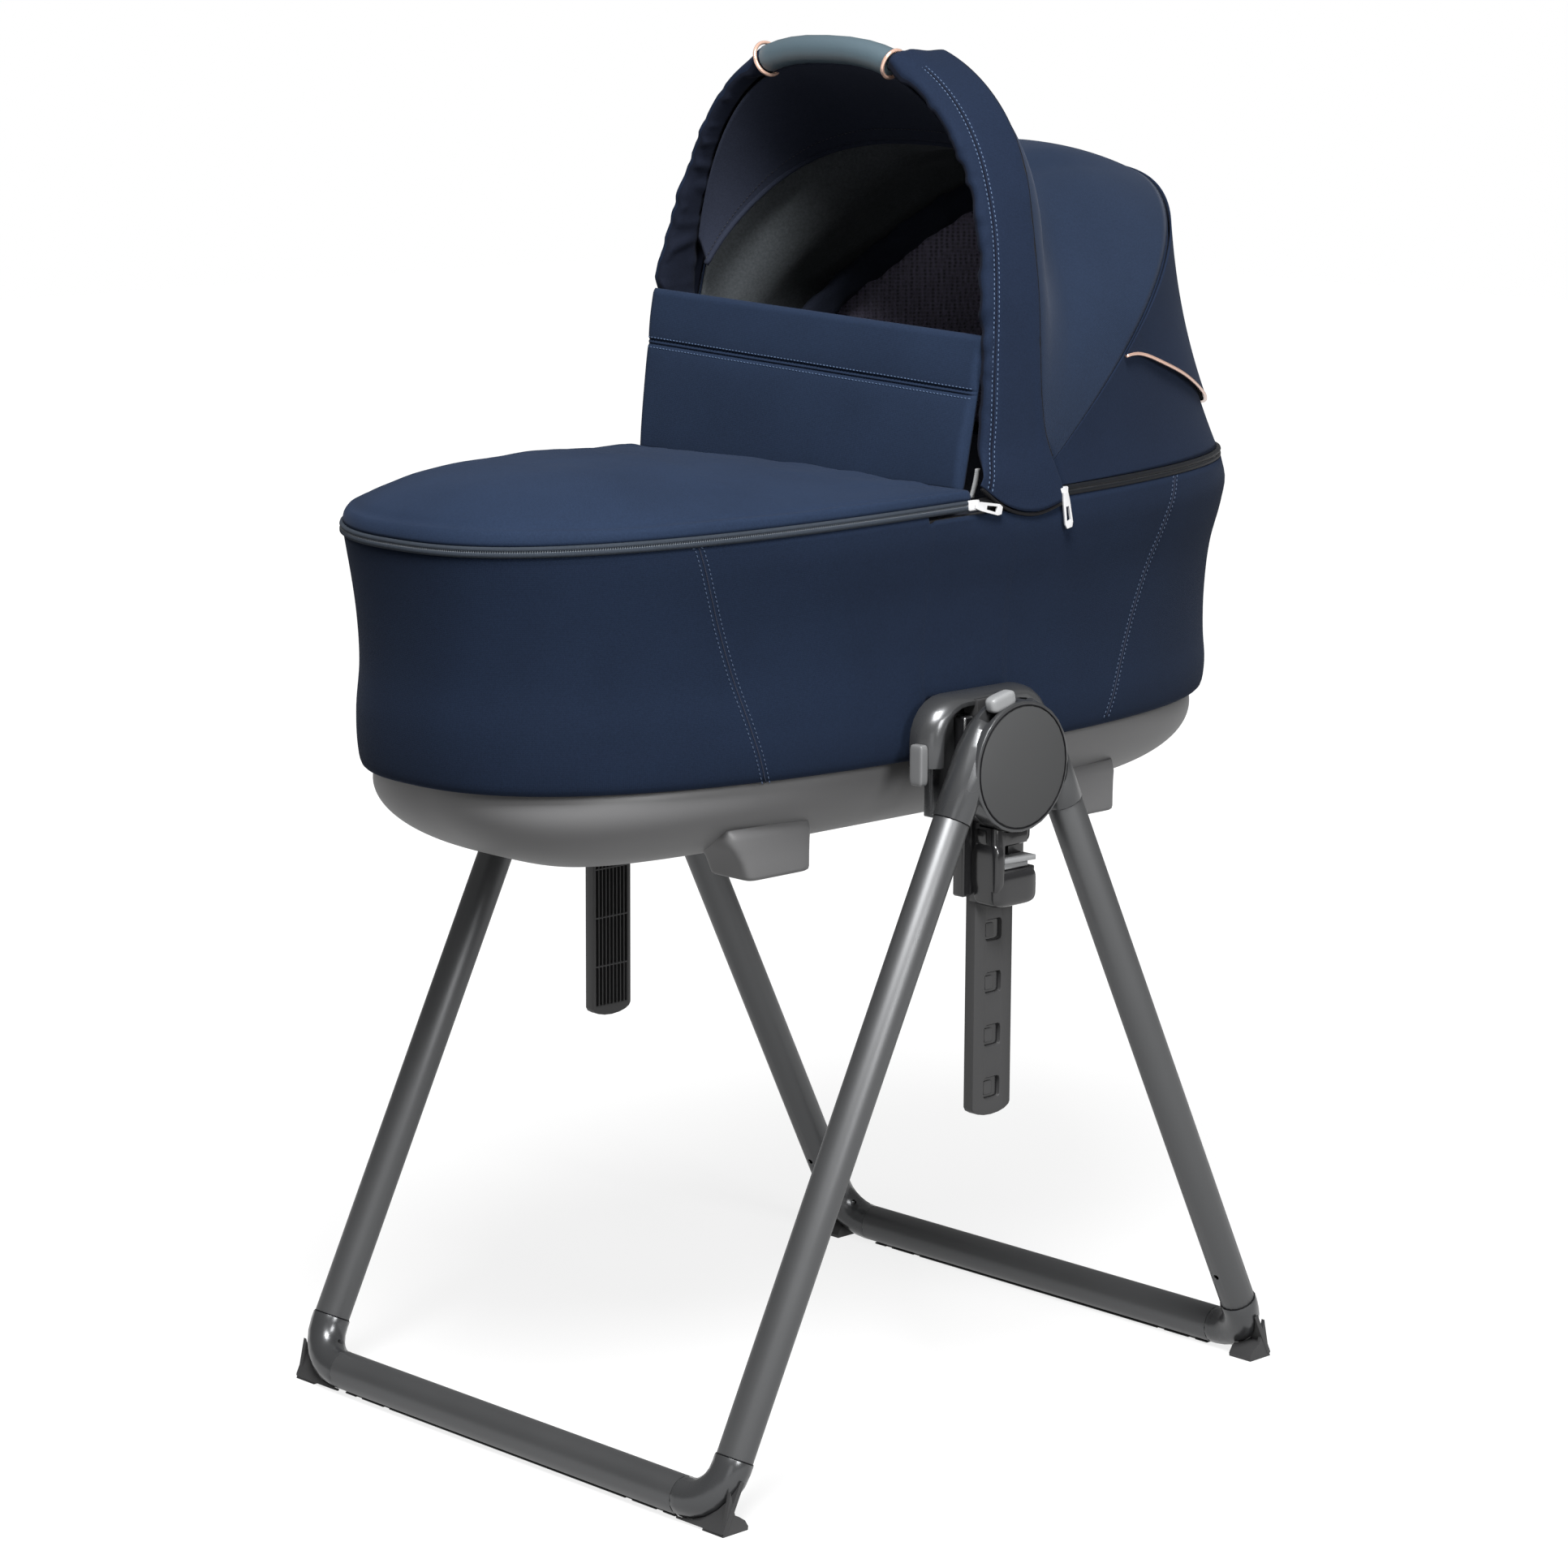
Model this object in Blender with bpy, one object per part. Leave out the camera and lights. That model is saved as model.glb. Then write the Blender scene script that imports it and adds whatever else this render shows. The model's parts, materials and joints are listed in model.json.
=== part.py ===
"""Bassinet with stand: a soft-sided carrycot on a folding tube stand.

Metres, +Z up, floor at z = 0. +X points to the head end and -Y to the near side.
Stand and bassinet are drawn about the hub axis at x = 0, then moved together by CENTRE_X
so that the origin lies under the middle of the object.
"""

import math

import bmesh
import bpy
from mathutils import Matrix, Vector

CENTRE_X = -0.0226
GAP = 0.0003

# Stand
FOLD_ANGLE = math.radians(26.4)
HUB_Z = 0.5603
LEG_Y = 0.248
LEG_R = 0.015
LEG_BORE_R = 0.0135
LEG_OFFSET = 0.0416
COLLAR_END = 0.062
BAR_ALONG = 0.6263
BAR_R = 0.016
BAR_BORE_R = 0.0145
ELBOW_BEND_R = 0.033
BEND_STEPS = 6
ELBOW_LEG_END = 0.039
ELBOW_BAR_Y = 0.210
SPIGOT = 0.020
DISC_R = 0.053
SWEEP_R = 0.0536
DISC_SPLIT_Y = 0.2478
DISC_OUTER_Y = 0.2637
DISC_INNER_Y = 0.2403
PIN_R = 0.010
CAP_R = 0.0492
CAP_Y = (0.2610, 0.2643)
FOOT_CORNER_Y = 0.2642
FOOT_ALONG = 0.0183
PLATE = 0.004

# Height adjustment
STRIP_HALF = 0.022
STRIP_Y = (0.2238, 0.2342)
STRIP_Z = (0.270, 0.6003)
WINDOW_TOP_Z = 0.4669
WINDOW_PITCH = 0.0436
WINDOWS = 5
HOUSING_Z = (0.450, 0.600)
NOSE_HALF = 0.0245
NOSE_Y = (0.232, 0.258)
NOSE_TOP_Z = 0.512
SLEEVE_HALF = 0.034
SLEEVE_Y = (0.2195, 0.2317)
CHANNEL_OUTER_Y = 0.2345
LEVER_TOP_Z = 0.4855
LEVER_INNER_Y = 0.2435
WINDOW_HALF_X = 0.00935
WINDOW_HALF_Z = 0.0089
WINDOW_FLOOR_Y = 0.2305
RIBS = 9
RIB_PITCH = 0.0042
RIB_SLOT = 0.0032
RIB_TOP_Z = 0.4450
HEAD_Y = (0.2087, 0.2315)
HEAD_TOP_Z = 0.617
HEAD_HALF = 0.073
TONGUE_HALF = 0.040
TONGUE_Y = (0.2020, 0.2050)
TONGUE_Z = (0.5640, 0.6000)

# Bassinet
RIM_X = 0.0112
RIM_A = 0.4347
RIM_B = 0.207
RIM_EXPONENT = 2.47
HEM_Z = 0.562
HULL_BOTTOM_Z = 0.4813
HULL_INSET = 0.0227
HULL_SPREAD = 0.1555
HULL_CURVE = 1.88
HULL_WALL = 0.003
HULL_TOP_INSET = 0.0195
HULL_TOP_GAP = 0.0165
BLOCK_Z = 0.478
BLOCK_Y = (0.108, 0.156)
BLOCK_SPANS = ((-0.205, -0.127), (0.170, 0.232))
BODY_CLOTH = 0.004
HEM_INSET = 0.0216
BRACKET_HALF = 0.044
ZIP_DEPTH = 0.0032
ZIP_BELOW = 0.0038
ZIP_ABOVE = 0.0030
APRON_END_X = -0.0050
APRON_CENTRE_X = -0.200
APRON_UNDER = 0.0036
APRON_EDGE = 0.0125
APRON_CROWN = 0.034
FLAP_HINGE = (-0.0038, 0.0, 0.7705)
FLAP_HALF = 0.190
AROUND = 40

# Hood
PIVOT = Vector((0.065, 0.0, 0.765))
FRONT_BOW = (-4.3, 0.350, 0.200, 2.6)
REAR_BOW = (50.0, 0.377, 0.197, 2.4)
REAR_CLOTH = (50.0, 0.385, 0.205, 2.4)
BOW_R = 0.004
BOW_STEPS = 18
FRONT_EYE_Y = (0.1966, 0.2018)
REAR_EYE_Y = (0.1928, 0.1952)
FRONT_TUBE_REACH = 0.026
REAR_TUBE_REACH = 0.044
EYE_R = 0.0062
EYE_HOLE_R = 0.0033
HINGE_PIN_R = 0.0029
GRIP_R = 0.0115
GRIP_HALF_Y = 0.071
CLOTH = 0.0035
BACK_START = 0.052

FINISHES = {
    "frame": ((0.085, 0.087, 0.090), 0.38, 0.75),
    "casting": ((0.060, 0.061, 0.063), 0.30, 0.60),
    "cap": ((0.045, 0.046, 0.047), 0.62, 0.0),
    "black": ((0.012, 0.012, 0.013), 0.22, 0.0),
    "rubber": ((0.030, 0.030, 0.031), 0.70, 0.0),
    "grey": ((0.420, 0.425, 0.430), 0.35, 0.0),
    "hull": ((0.098, 0.098, 0.100), 0.50, 0.0),
    "navy": ((0.010, 0.018, 0.045), 0.90, 0.0),
    "lining": ((0.016, 0.017, 0.022), 0.95, 0.0),
    "zip": ((0.060, 0.085, 0.110), 0.60, 0.0),
    "metal": ((0.620, 0.620, 0.630), 0.25, 1.0),
    "rose": ((0.720, 0.440, 0.350), 0.25, 1.0),
    "leather": ((0.055, 0.085, 0.110), 0.50, 0.0),
    "white": ((0.700, 0.700, 0.690), 0.90, 0.0),
}


def clear_scene():
    for obj in list(bpy.data.objects):
        bpy.data.objects.remove(obj, do_unlink=True)
    for mesh in list(bpy.data.meshes):
        bpy.data.meshes.remove(mesh)


def finish_material(name):
    if name in bpy.data.materials:
        return bpy.data.materials[name]
    color, roughness, metallic = FINISHES[name]
    material = bpy.data.materials.new(name)
    material.use_nodes = True
    shader = material.node_tree.nodes["Principled BSDF"]
    shader.inputs["Base Color"].default_value = (*color, 1.0)
    shader.inputs["Roughness"].default_value = roughness
    shader.inputs["Metallic"].default_value = metallic
    return material


# Solids


def form(bm):
    """A linked object holding one closed form with its normals outward."""
    bmesh.ops.recalc_face_normals(bm, faces=bm.faces)
    mesh = bpy.data.meshes.new("form")
    bm.to_mesh(mesh)
    bm.free()
    obj = bpy.data.objects.new("form", mesh)
    bpy.context.collection.objects.link(obj)
    return obj


def loft(rings, looped=False):
    """Skin through rings of equal length, capped at both ends or joined end to start."""
    bm = bmesh.new()
    rows = [[bm.verts.new(p) for p in ring] for ring in rings]
    pairs = list(zip(rows, rows[1:]))
    if looped:
        pairs.append((rows[-1], rows[0]))
    for low, high in pairs:
        for i in range(len(low)):
            j = (i + 1) % len(low)
            bm.faces.new((low[i], low[j], high[j], high[i]))
    if not looped:
        bm.faces.new(rows[0])
        bm.faces.new(rows[-1])
    return form(bm)


def slab(outer, inner):
    """A sheet of cloth or wall between two grids of points of equal size."""
    bm = bmesh.new()
    faces = [[[bm.verts.new(p) for p in row] for row in grid] for grid in (outer, inner)]
    rows, columns = len(outer), len(outer[0])
    for side in faces:
        for i in range(rows - 1):
            for j in range(columns - 1):
                bm.faces.new((side[i][j], side[i][j + 1], side[i + 1][j + 1], side[i + 1][j]))
    edge = [(0, j) for j in range(columns)] + [(i, columns - 1) for i in range(1, rows)]
    edge += [(rows - 1, j) for j in range(columns - 2, -1, -1)]
    edge += [(i, 0) for i in range(rows - 2, 0, -1)]
    for (a, b), (c, d) in zip(edge, edge[1:] + edge[:1]):
        bm.faces.new((faces[0][a][b], faces[0][c][d], faces[1][c][d], faces[1][a][b]))
    return form(bm)


def box(low, high, edge=0.0, segments=1):
    bm = bmesh.new()
    size = [h - l for l, h in zip(low, high)]
    centre = [(h + l) / 2 for l, h in zip(low, high)]
    place = Matrix.Translation(centre) @ Matrix.Diagonal((*size, 1.0))
    bmesh.ops.create_cube(bm, size=1.0, matrix=place)
    if edge:
        bmesh.ops.bevel(
            bm, geom=bm.edges[:], offset=edge, segments=segments, affect="EDGES", profile=0.5
        )
    return form(bm)


def prism(outline, axis, low, high):
    """An outline in the two other axes, in X, Y, Z order, drawn out along one axis."""
    def at(point, level):
        coords = list(point)
        coords.insert("XYZ".index(axis), level)
        return coords

    return loft([[at(p, low) for p in outline], [at(p, high) for p in outline]])


def rounded(corners, radii, steps=4):
    """Polygon with each corner turned into an arc of the given radius."""
    points = []
    count = len(corners)
    for i, (corner, radius) in enumerate(zip(corners, radii)):
        here = Vector(corner)
        before = (Vector(corners[i - 1]) - here).normalized()
        after = (Vector(corners[(i + 1) % count]) - here).normalized()
        if radius <= 0:
            points.append(tuple(here))
            continue
        half = before.angle(after) / 2
        reach = radius / math.tan(half)
        centre = here + (before + after).normalized() * radius / math.sin(half)
        start = here + before * reach - centre
        end = here + after * reach - centre
        turn = start.angle_signed(end)
        for k in range(steps + 1):
            arm = start.copy()
            arm.rotate(Matrix.Rotation(-turn * k / steps, 2))
            points.append(tuple(centre + arm))
    return points


def disc(radius, low, high, edge=0.0, segments=28, centre=(0.0, HUB_Z)):
    """Round plate about the Y direction, with its rim chamfered at the outer face."""
    def ring(r, y):
        turn = [math.tau * i / segments for i in range(segments)]
        return [(centre[0] + r * math.cos(a), y, centre[1] + r * math.sin(a)) for a in turn]

    rings = [ring(radius, low), ring(radius, high - edge)]
    if edge:
        rings.append(ring(radius - 0.3 * edge, high - 0.3 * edge))
        rings.append(ring(radius - edge, high))
    return loft(rings)


def sweep(path, normal, radii, segments=16, bore=None):
    """Round section carried along a path that lies in the plane of the given normal."""
    normal = Vector(normal).normalized()
    path = [Vector(p) for p in path]

    def rings(radius_list):
        out = []
        for i, point in enumerate(path):
            ahead = path[min(i + 1, len(path) - 1)]
            behind = path[max(i - 1, 0)]
            tangent = (ahead - behind).normalized()
            across = normal.cross(tangent).normalized()
            ring = []
            for k in range(segments):
                a = math.tau * k / segments
                ring.append(point + (across * math.cos(a) + normal * math.sin(a)) * radius_list[i])
            out.append(ring)
        return out

    outer = rings(radii)
    if bore is None:
        return loft(outer)
    inner = rings([bore] * len(path))
    return loft(outer + inner[::-1], looped=True)


def combine(base, tools, operation):
    """Boolean of one form with others, which are used up."""
    for tool in tools:
        modifier = base.modifiers.new("combine", "BOOLEAN")
        modifier.operation = operation
        modifier.solver = "EXACT"
        modifier.object = tool
        graph = bpy.context.evaluated_depsgraph_get()
        result = bpy.data.meshes.new_from_object(base.evaluated_get(graph))
        base.modifiers.clear()
        weld(result)
        base.data = result
        bpy.data.objects.remove(tool, do_unlink=True)
    return base


def weld(mesh):
    """Make one point of corners a Boolean left a hair apart."""
    bm = bmesh.new()
    bm.from_mesh(mesh)
    bmesh.ops.remove_doubles(bm, verts=bm.verts, dist=2e-6)
    bmesh.ops.dissolve_degenerate(bm, edges=bm.edges, dist=1e-6)
    bm.to_mesh(mesh)
    bm.free()


def union(base, *tools):
    return combine(base, tools, "UNION")


def cut(base, *tools):
    return combine(base, tools, "DIFFERENCE")


def name_piece(obj, name, finish, mirrored=False, pivot=(0.0, 0.0, 0.0)):
    """Name a finished form, colour it and put its origin on the axis it turns or slides on."""
    mesh = obj.data
    if mirrored:
        mesh.transform(Matrix.Diagonal((1.0, -1.0, 1.0, 1.0)))
        mesh.flip_normals()
    pivot = Vector(pivot)
    if mirrored:
        pivot.y = -pivot.y
    mesh.transform(Matrix.Translation(-pivot))
    obj.location = pivot + Vector((CENTRE_X, 0.0, 0.0))
    obj.name = name
    mesh.name = name
    mesh.materials.clear()
    mesh.materials.append(finish_material(finish))
    mesh.shade_smooth()
    mesh.set_sharp_from_angle(angle=math.radians(35))
    return obj


def both_sides(make, name, finish, pivot=(0.0, 0.0, 0.0)):
    """The far piece as drawn, with y outward, and the near piece as its mirror image."""
    name_piece(make(), name + "_far", finish, pivot=pivot)
    name_piece(make(), name + "_near", finish, mirrored=True, pivot=pivot)


# Folding frames: hand is -1 for the front frame and +1 for the rear one


def leg_direction(hand):
    return Vector((hand * math.sin(FOLD_ANGLE), 0.0, -math.cos(FOLD_ANGLE)))


def leg_point(hand, along, y=LEG_Y):
    """Point on a leg's axis, measured down from its closest point to the hub."""
    out = Vector((hand * math.cos(FOLD_ANGLE), 0.0, math.sin(FOLD_ANGLE)))
    point = Vector((0.0, y, HUB_Z)) + out * LEG_OFFSET + leg_direction(hand) * along
    return point


def leg_tube(hand):
    path = [leg_point(hand, COLLAR_END + GAP), leg_point(hand, BAR_ALONG - ELBOW_LEG_END - GAP)]
    tube = sweep(path, (0, 1, 0), [LEG_R] * 2, segments=20, bore=LEG_BORE_R)
    hole = leg_point(hand, BAR_ALONG - 0.075)
    inward = Vector((-hand * math.cos(FOLD_ANGLE), 0.0, -math.sin(FOLD_ANGLE)))
    drill = sweep([hole, hole + inward * 0.02], (0, 1, 0), [0.0026] * 2, segments=10)
    return cut(tube, drill)


def elbow_path(hand, lead=0.0):
    """Centreline from the leg round the bend to the bar, with extra length at both ends."""
    points = [leg_point(hand, BAR_ALONG - ELBOW_LEG_END - lead)]
    for k in range(BEND_STEPS + 1):
        a = math.pi / 2 * k / BEND_STEPS
        along = BAR_ALONG - ELBOW_BEND_R + ELBOW_BEND_R * math.sin(a)
        points.append(leg_point(hand, along, LEG_Y - ELBOW_BEND_R + ELBOW_BEND_R * math.cos(a)))
    points.append(leg_point(hand, BAR_ALONG, ELBOW_BAR_Y - lead))
    return points


def frame_normal(hand):
    return leg_direction(hand).cross(Vector((0, 1, 0)))


def elbow(hand):
    path = elbow_path(hand)
    body = sweep(path, frame_normal(hand), [BAR_R] * len(path), segments=14)
    leg_end = [leg_point(hand, BAR_ALONG - ELBOW_LEG_END + d) for d in (-SPIGOT, 0.002)]
    bar_end = [leg_point(hand, BAR_ALONG, ELBOW_BAR_Y + d) for d in (0.002, -SPIGOT)]
    into_leg = sweep(leg_end, (0, 1, 0), [LEG_BORE_R - 2 * GAP] * 2, segments=12)
    into_bar = sweep(bar_end, frame_normal(hand), [BAR_BORE_R - 2 * GAP] * 2, segments=12)
    union(body, into_leg, into_bar)
    centre = leg_point(hand, BAR_ALONG - ELBOW_BEND_R, LEG_Y - ELBOW_BEND_R)
    corner = leg_point(hand, BAR_ALONG, LEG_Y)
    toward = (corner - centre).normalized()
    drain = [centre + toward * 0.012, centre + toward * 0.021]
    return cut(body, sweep(drain, frame_normal(hand), [0.0024] * 2, segments=10))


def foot(hand):
    """Corner plate in the frame's plane with a rib and a flat-bottomed wedge on the inner side."""
    outline = rounded(
        [
            (FOOT_CORNER_Y, -0.0248),
            (FOOT_CORNER_Y, FOOT_ALONG),
            (0.2105, FOOT_ALONG),
            (0.2105, 0.010),
            (0.235, -0.010),
        ],
        [0, 0.002, 0.001, 0, 0],
        steps=2,
    )
    normal = frame_normal(hand).normalized()
    rings = []
    for side in (-PLATE / 2, PLATE / 2):
        rings.append([leg_point(hand, BAR_ALONG + q, p) + normal * side for p, q in outline])
    plate = loft(rings)
    bar = leg_point(hand, BAR_ALONG, 0.0)
    wedge_outline = [
        (0.0095, 0.0),
        (-0.0170, 0.0),
        (-0.0175, 0.0030),
        (-0.0140, 0.0085),
        (-0.0075, 0.0130),
        (0.0020, 0.0155),
    ]
    points = [(bar.x + hand * x, z) for x, z in wedge_outline]
    wedge = prism(points, "Y", 0.240, FOOT_CORNER_Y - 0.0004)
    rib_outline = [(0.0085, 0.0), (-0.006, 0.0), (-0.006, 0.006), (0.001, 0.034)]
    rib_points = [(bar.x + hand * x, z) for x, z in rib_outline]
    rib = prism(rib_points, "Y", 0.2600, FOOT_CORNER_Y - 0.0008)
    union(plate, wedge, rib)
    floor = box((bar.x - 0.06, 0.19, -0.02), (bar.x + 0.06, 0.28, 0.0))
    path = elbow_path(hand, lead=0.02)
    clearance = sweep(path, frame_normal(hand), [BAR_R + 2 * GAP] * len(path), segments=16)
    return cut(plate, floor, clearance)


def bar_tube(hand):
    reach = ELBOW_BAR_Y - GAP
    path = [leg_point(hand, BAR_ALONG, -reach), leg_point(hand, BAR_ALONG, reach)]
    return sweep(path, (0, 0, 1), [BAR_R] * 2, segments=20, bore=BAR_BORE_R)


def runner(hand):
    """Flat strip under the bar that the frame stands on, notched near its ends."""
    x = leg_point(hand, BAR_ALONG).x
    top = leg_point(hand, BAR_ALONG).z - BAR_R - GAP
    strip = box((x - 0.0045, -0.204, 0.0), (x + 0.0045, 0.204, top), edge=0.0004)
    notches = []
    for y in (-0.186, -0.150, 0.150, 0.186):
        notches.append(box((x - 0.01, y - 0.004, -0.001), (x - 0.0025, y + 0.004, 0.01)))
        notches.append(box((x + 0.0025, y - 0.004, -0.001), (x + 0.01, y + 0.004, 0.01)))
    return cut(strip, *notches)


def boss(hand):
    """Round collar that runs off the hub disc at a tangent and takes the leg tube."""
    along = [-0.034, -0.024, -0.012, 0.004, COLLAR_END]
    radii = [0.004, 0.010, 0.0140, BAR_R, BAR_R]
    out = Vector((hand * math.cos(FOLD_ANGLE), 0.0, math.sin(FOLD_ANGLE)))
    path = []
    for s, r in zip(along, radii):
        edge = LEG_OFFSET + BAR_R
        if s < 0.0:
            edge = min(edge, math.sqrt((DISC_R + 0.0035) ** 2 - s * s))
        path.append(leg_point(hand, s) + out * (edge - r - LEG_OFFSET))
    collar = sweep(path, (0, 1, 0), radii, segments=14)
    into_tube = [leg_point(hand, COLLAR_END - 0.002), leg_point(hand, COLLAR_END + SPIGOT)]
    return union(collar, sweep(into_tube, (0, 1, 0), [LEG_BORE_R - 2 * GAP] * 2, segments=12))


def front_casting():
    """Outer half of the hub: ring with a recess for the cap and a pocket for the fold button."""
    body = union(boss(-1), disc(DISC_R, DISC_SPLIT_Y + GAP, DISC_OUTER_Y, edge=0.0015))
    inner_room = disc(SWEEP_R, 0.225, DISC_SPLIT_Y + GAP)
    recess = disc(CAP_R + 0.0005, CAP_Y[0] - GAP, 0.27)
    outer_trim = disc(SWEEP_R - 0.0002, DISC_OUTER_Y, 0.275)
    bore = disc(PIN_R + GAP, 0.23, 0.27, segments=16)
    pocket = arc_block(0.0455, 0.066, 91.5, 132.0, 0.2497, 0.2593)
    return cut(body, inner_room, outer_trim, recess, bore, pocket)


def rear_casting():
    """Inner half of the hub, with its collar cut back where the front half turns."""
    body = union(boss(1), disc(DISC_R, DISC_INNER_Y, DISC_SPLIT_Y))
    outer_room = disc(SWEEP_R, DISC_SPLIT_Y, 0.275)
    inner_room = disc(SWEEP_R, 0.225, DISC_INNER_Y)
    bore = disc(PIN_R + GAP, 0.23, 0.27, segments=16)
    return cut(body, outer_room, inner_room, bore)


def arc_block(low_r, high_r, start, end, low_y, high_y, steps=6):
    """Block bent round the hub axis, from one angle to another in degrees."""
    turn = [math.radians(start + (end - start) * k / steps) for k in range(steps + 1)]
    outer = [(high_r * math.cos(a), HUB_Z + high_r * math.sin(a)) for a in turn]
    inner = [(low_r * math.cos(a), HUB_Z + low_r * math.sin(a)) for a in reversed(turn)]
    return prism(outer + inner, "Y", low_y, high_y)


def fold_button():
    button = arc_block(0.0485, 0.0582, 92.3, 131.2, 0.2500, 0.2590)
    bevel_form(button, 0.0012, 2)
    return button


def bevel_form(obj, width, segments):
    """Round the sharp edges of a simple form."""
    bm = bmesh.new()
    bm.from_mesh(obj.data)
    sharp = [e for e in bm.edges if e.is_manifold and e.calc_face_angle() > math.radians(40)]
    bmesh.ops.bevel(bm, geom=sharp, offset=width, segments=segments, affect="EDGES", profile=0.5)
    bm.to_mesh(obj.data)
    bm.free()


def slider_housing():
    """Box that guides the support strip, with the pivot pin on its upper plate."""
    low, high = HOUSING_Z
    inner, outer = NOSE_Y
    corners = [(-NOSE_HALF, inner), (NOSE_HALF, inner), (NOSE_HALF, outer), (-NOSE_HALF, outer)]
    nose = prism(rounded(corners, [0, 0, 0.006, 0.006]), "Z", low, NOSE_TOP_Z)
    plate = box((-NOSE_HALF, 0.230, low), (NOSE_HALF, DISC_INNER_Y - GAP, high))
    sleeve_low = (-SLEEVE_HALF, SLEEVE_Y[0], low + 0.004)
    sleeve = box(sleeve_low, (SLEEVE_HALF, SLEEVE_Y[1], high), edge=0.0015)
    body = union(nose, plate, sleeve)
    half = STRIP_HALF + GAP
    channel = box((-half, STRIP_Y[0] - GAP, low - 0.05), (half, CHANNEL_OUTER_Y, high + 0.05))
    swing = disc(SWEEP_R + GAP, DISC_INNER_Y - GAP, 0.27)
    slope = [(0.228, 0.440), (0.262, 0.440), (0.262, 0.4565), (0.228, 0.4480)]
    underside = prism(slope, "X", -0.03, 0.03)
    lever_room = box((-0.0137, 0.2425, 0.4758), (0.03, 0.27, 0.4975), edge=0.0008)
    tooth_room = box((-0.0066, 0.2340, 0.4560), (0.0066, 0.2486, 0.4970))
    lip_corner = [(0.012, 0.4970), (0.03, 0.4860), (0.03, 0.52), (0.012, 0.52)]
    cut(body, channel, swing, underside, lever_room, tooth_room)
    cut(body, prism(lip_corner, "Y", 0.2430, 0.27))
    return union(body, disc(PIN_R, 0.238, CAP_Y[0] - GAP, segments=16))


def hub_cap():
    return disc(CAP_R, CAP_Y[0], CAP_Y[1], edge=0.0012, segments=32)


def height_lever():
    """Rocker with a finger lip outside the housing and a tooth that faces the strip's windows."""
    left, right = -0.0130, 0.0225
    corners = [(left, LEVER_INNER_Y), (right, LEVER_INNER_Y), (right, 0.2600), (left, 0.2560)]
    lip = prism(rounded(corners, [0, 0, 0.003, 0.003]), "Z", LEVER_TOP_Z - 0.0035, LEVER_TOP_Z)
    base = box((left, LEVER_INNER_Y, 0.4765), (0.0175, 0.2545, 0.4830), edge=0.0006)
    tail = box((-0.0060, 0.2395, 0.4580), (0.0060, LEVER_INNER_Y + 0.0005, 0.4850))
    tooth = box((-0.0060, 0.2362, 0.4610), (0.0060, 0.2400, 0.4720))
    return union(base, lip, tail, tooth)


def strip_window(z):
    """Block with rounded corners that cuts one blind window."""
    corners = [(x * WINDOW_HALF_X, z + h * WINDOW_HALF_Z) for x, h in ((-1, -1), (1, -1), (1, 1), (-1, 1))]
    return prism(rounded(corners, [0.003] * 4, steps=2), "Y", WINDOW_FLOOR_Y, 0.2400)


def support_strip():
    """Upright bar with blind windows on its outer face and ribs on its inner face."""
    low, high = STRIP_Z
    top = high + 0.0125
    bottom = [(STRIP_HALF * math.cos(a), low + 0.008 - 0.008 * math.sin(a)) for a in arc(0, 180, 8)]
    bar = prism(bottom + [(-STRIP_HALF, top), (STRIP_HALF, top)], "Y", *STRIP_Y)
    union(bar, box((-STRIP_HALF, 0.2193, high), (STRIP_HALF, STRIP_Y[0] + 0.001, top)))
    cuts = [strip_window(WINDOW_TOP_Z - WINDOW_PITCH * i) for i in range(WINDOWS)]
    first = -RIB_PITCH * (RIBS - 1) / 2 - RIB_SLOT / 2 - 0.0005
    for i in range(RIBS):
        x = first + RIB_PITCH * i
        for j in range(WINDOWS - 1):
            upper = RIB_TOP_Z - WINDOW_PITCH * j
            lower = upper - WINDOW_PITCH + 0.0016 if j < WINDOWS - 2 else low + 0.010
            cuts.append(box((x, 0.2200, lower), (x + RIB_SLOT, STRIP_Y[0] + 0.0050, upper)))
    return cut(bar, *cuts)


def arc(start, end, steps):
    return [math.radians(start + (end - start) * k / steps) for k in range(steps + 1)]


def arch_outline(half, top, radius, bottom, steps=6):
    """Door-arch shape in x and z: straight legs and rounded upper corners."""
    left = []
    for a in arc(0, 90, steps):
        left.append((-half + radius * (1 - math.cos(a)), top - radius * (1 - math.sin(a))))
    right = [(-x, z) for x, z in reversed(left)]
    return [(-half, bottom)] + left + right + [(half, bottom)]


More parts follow.
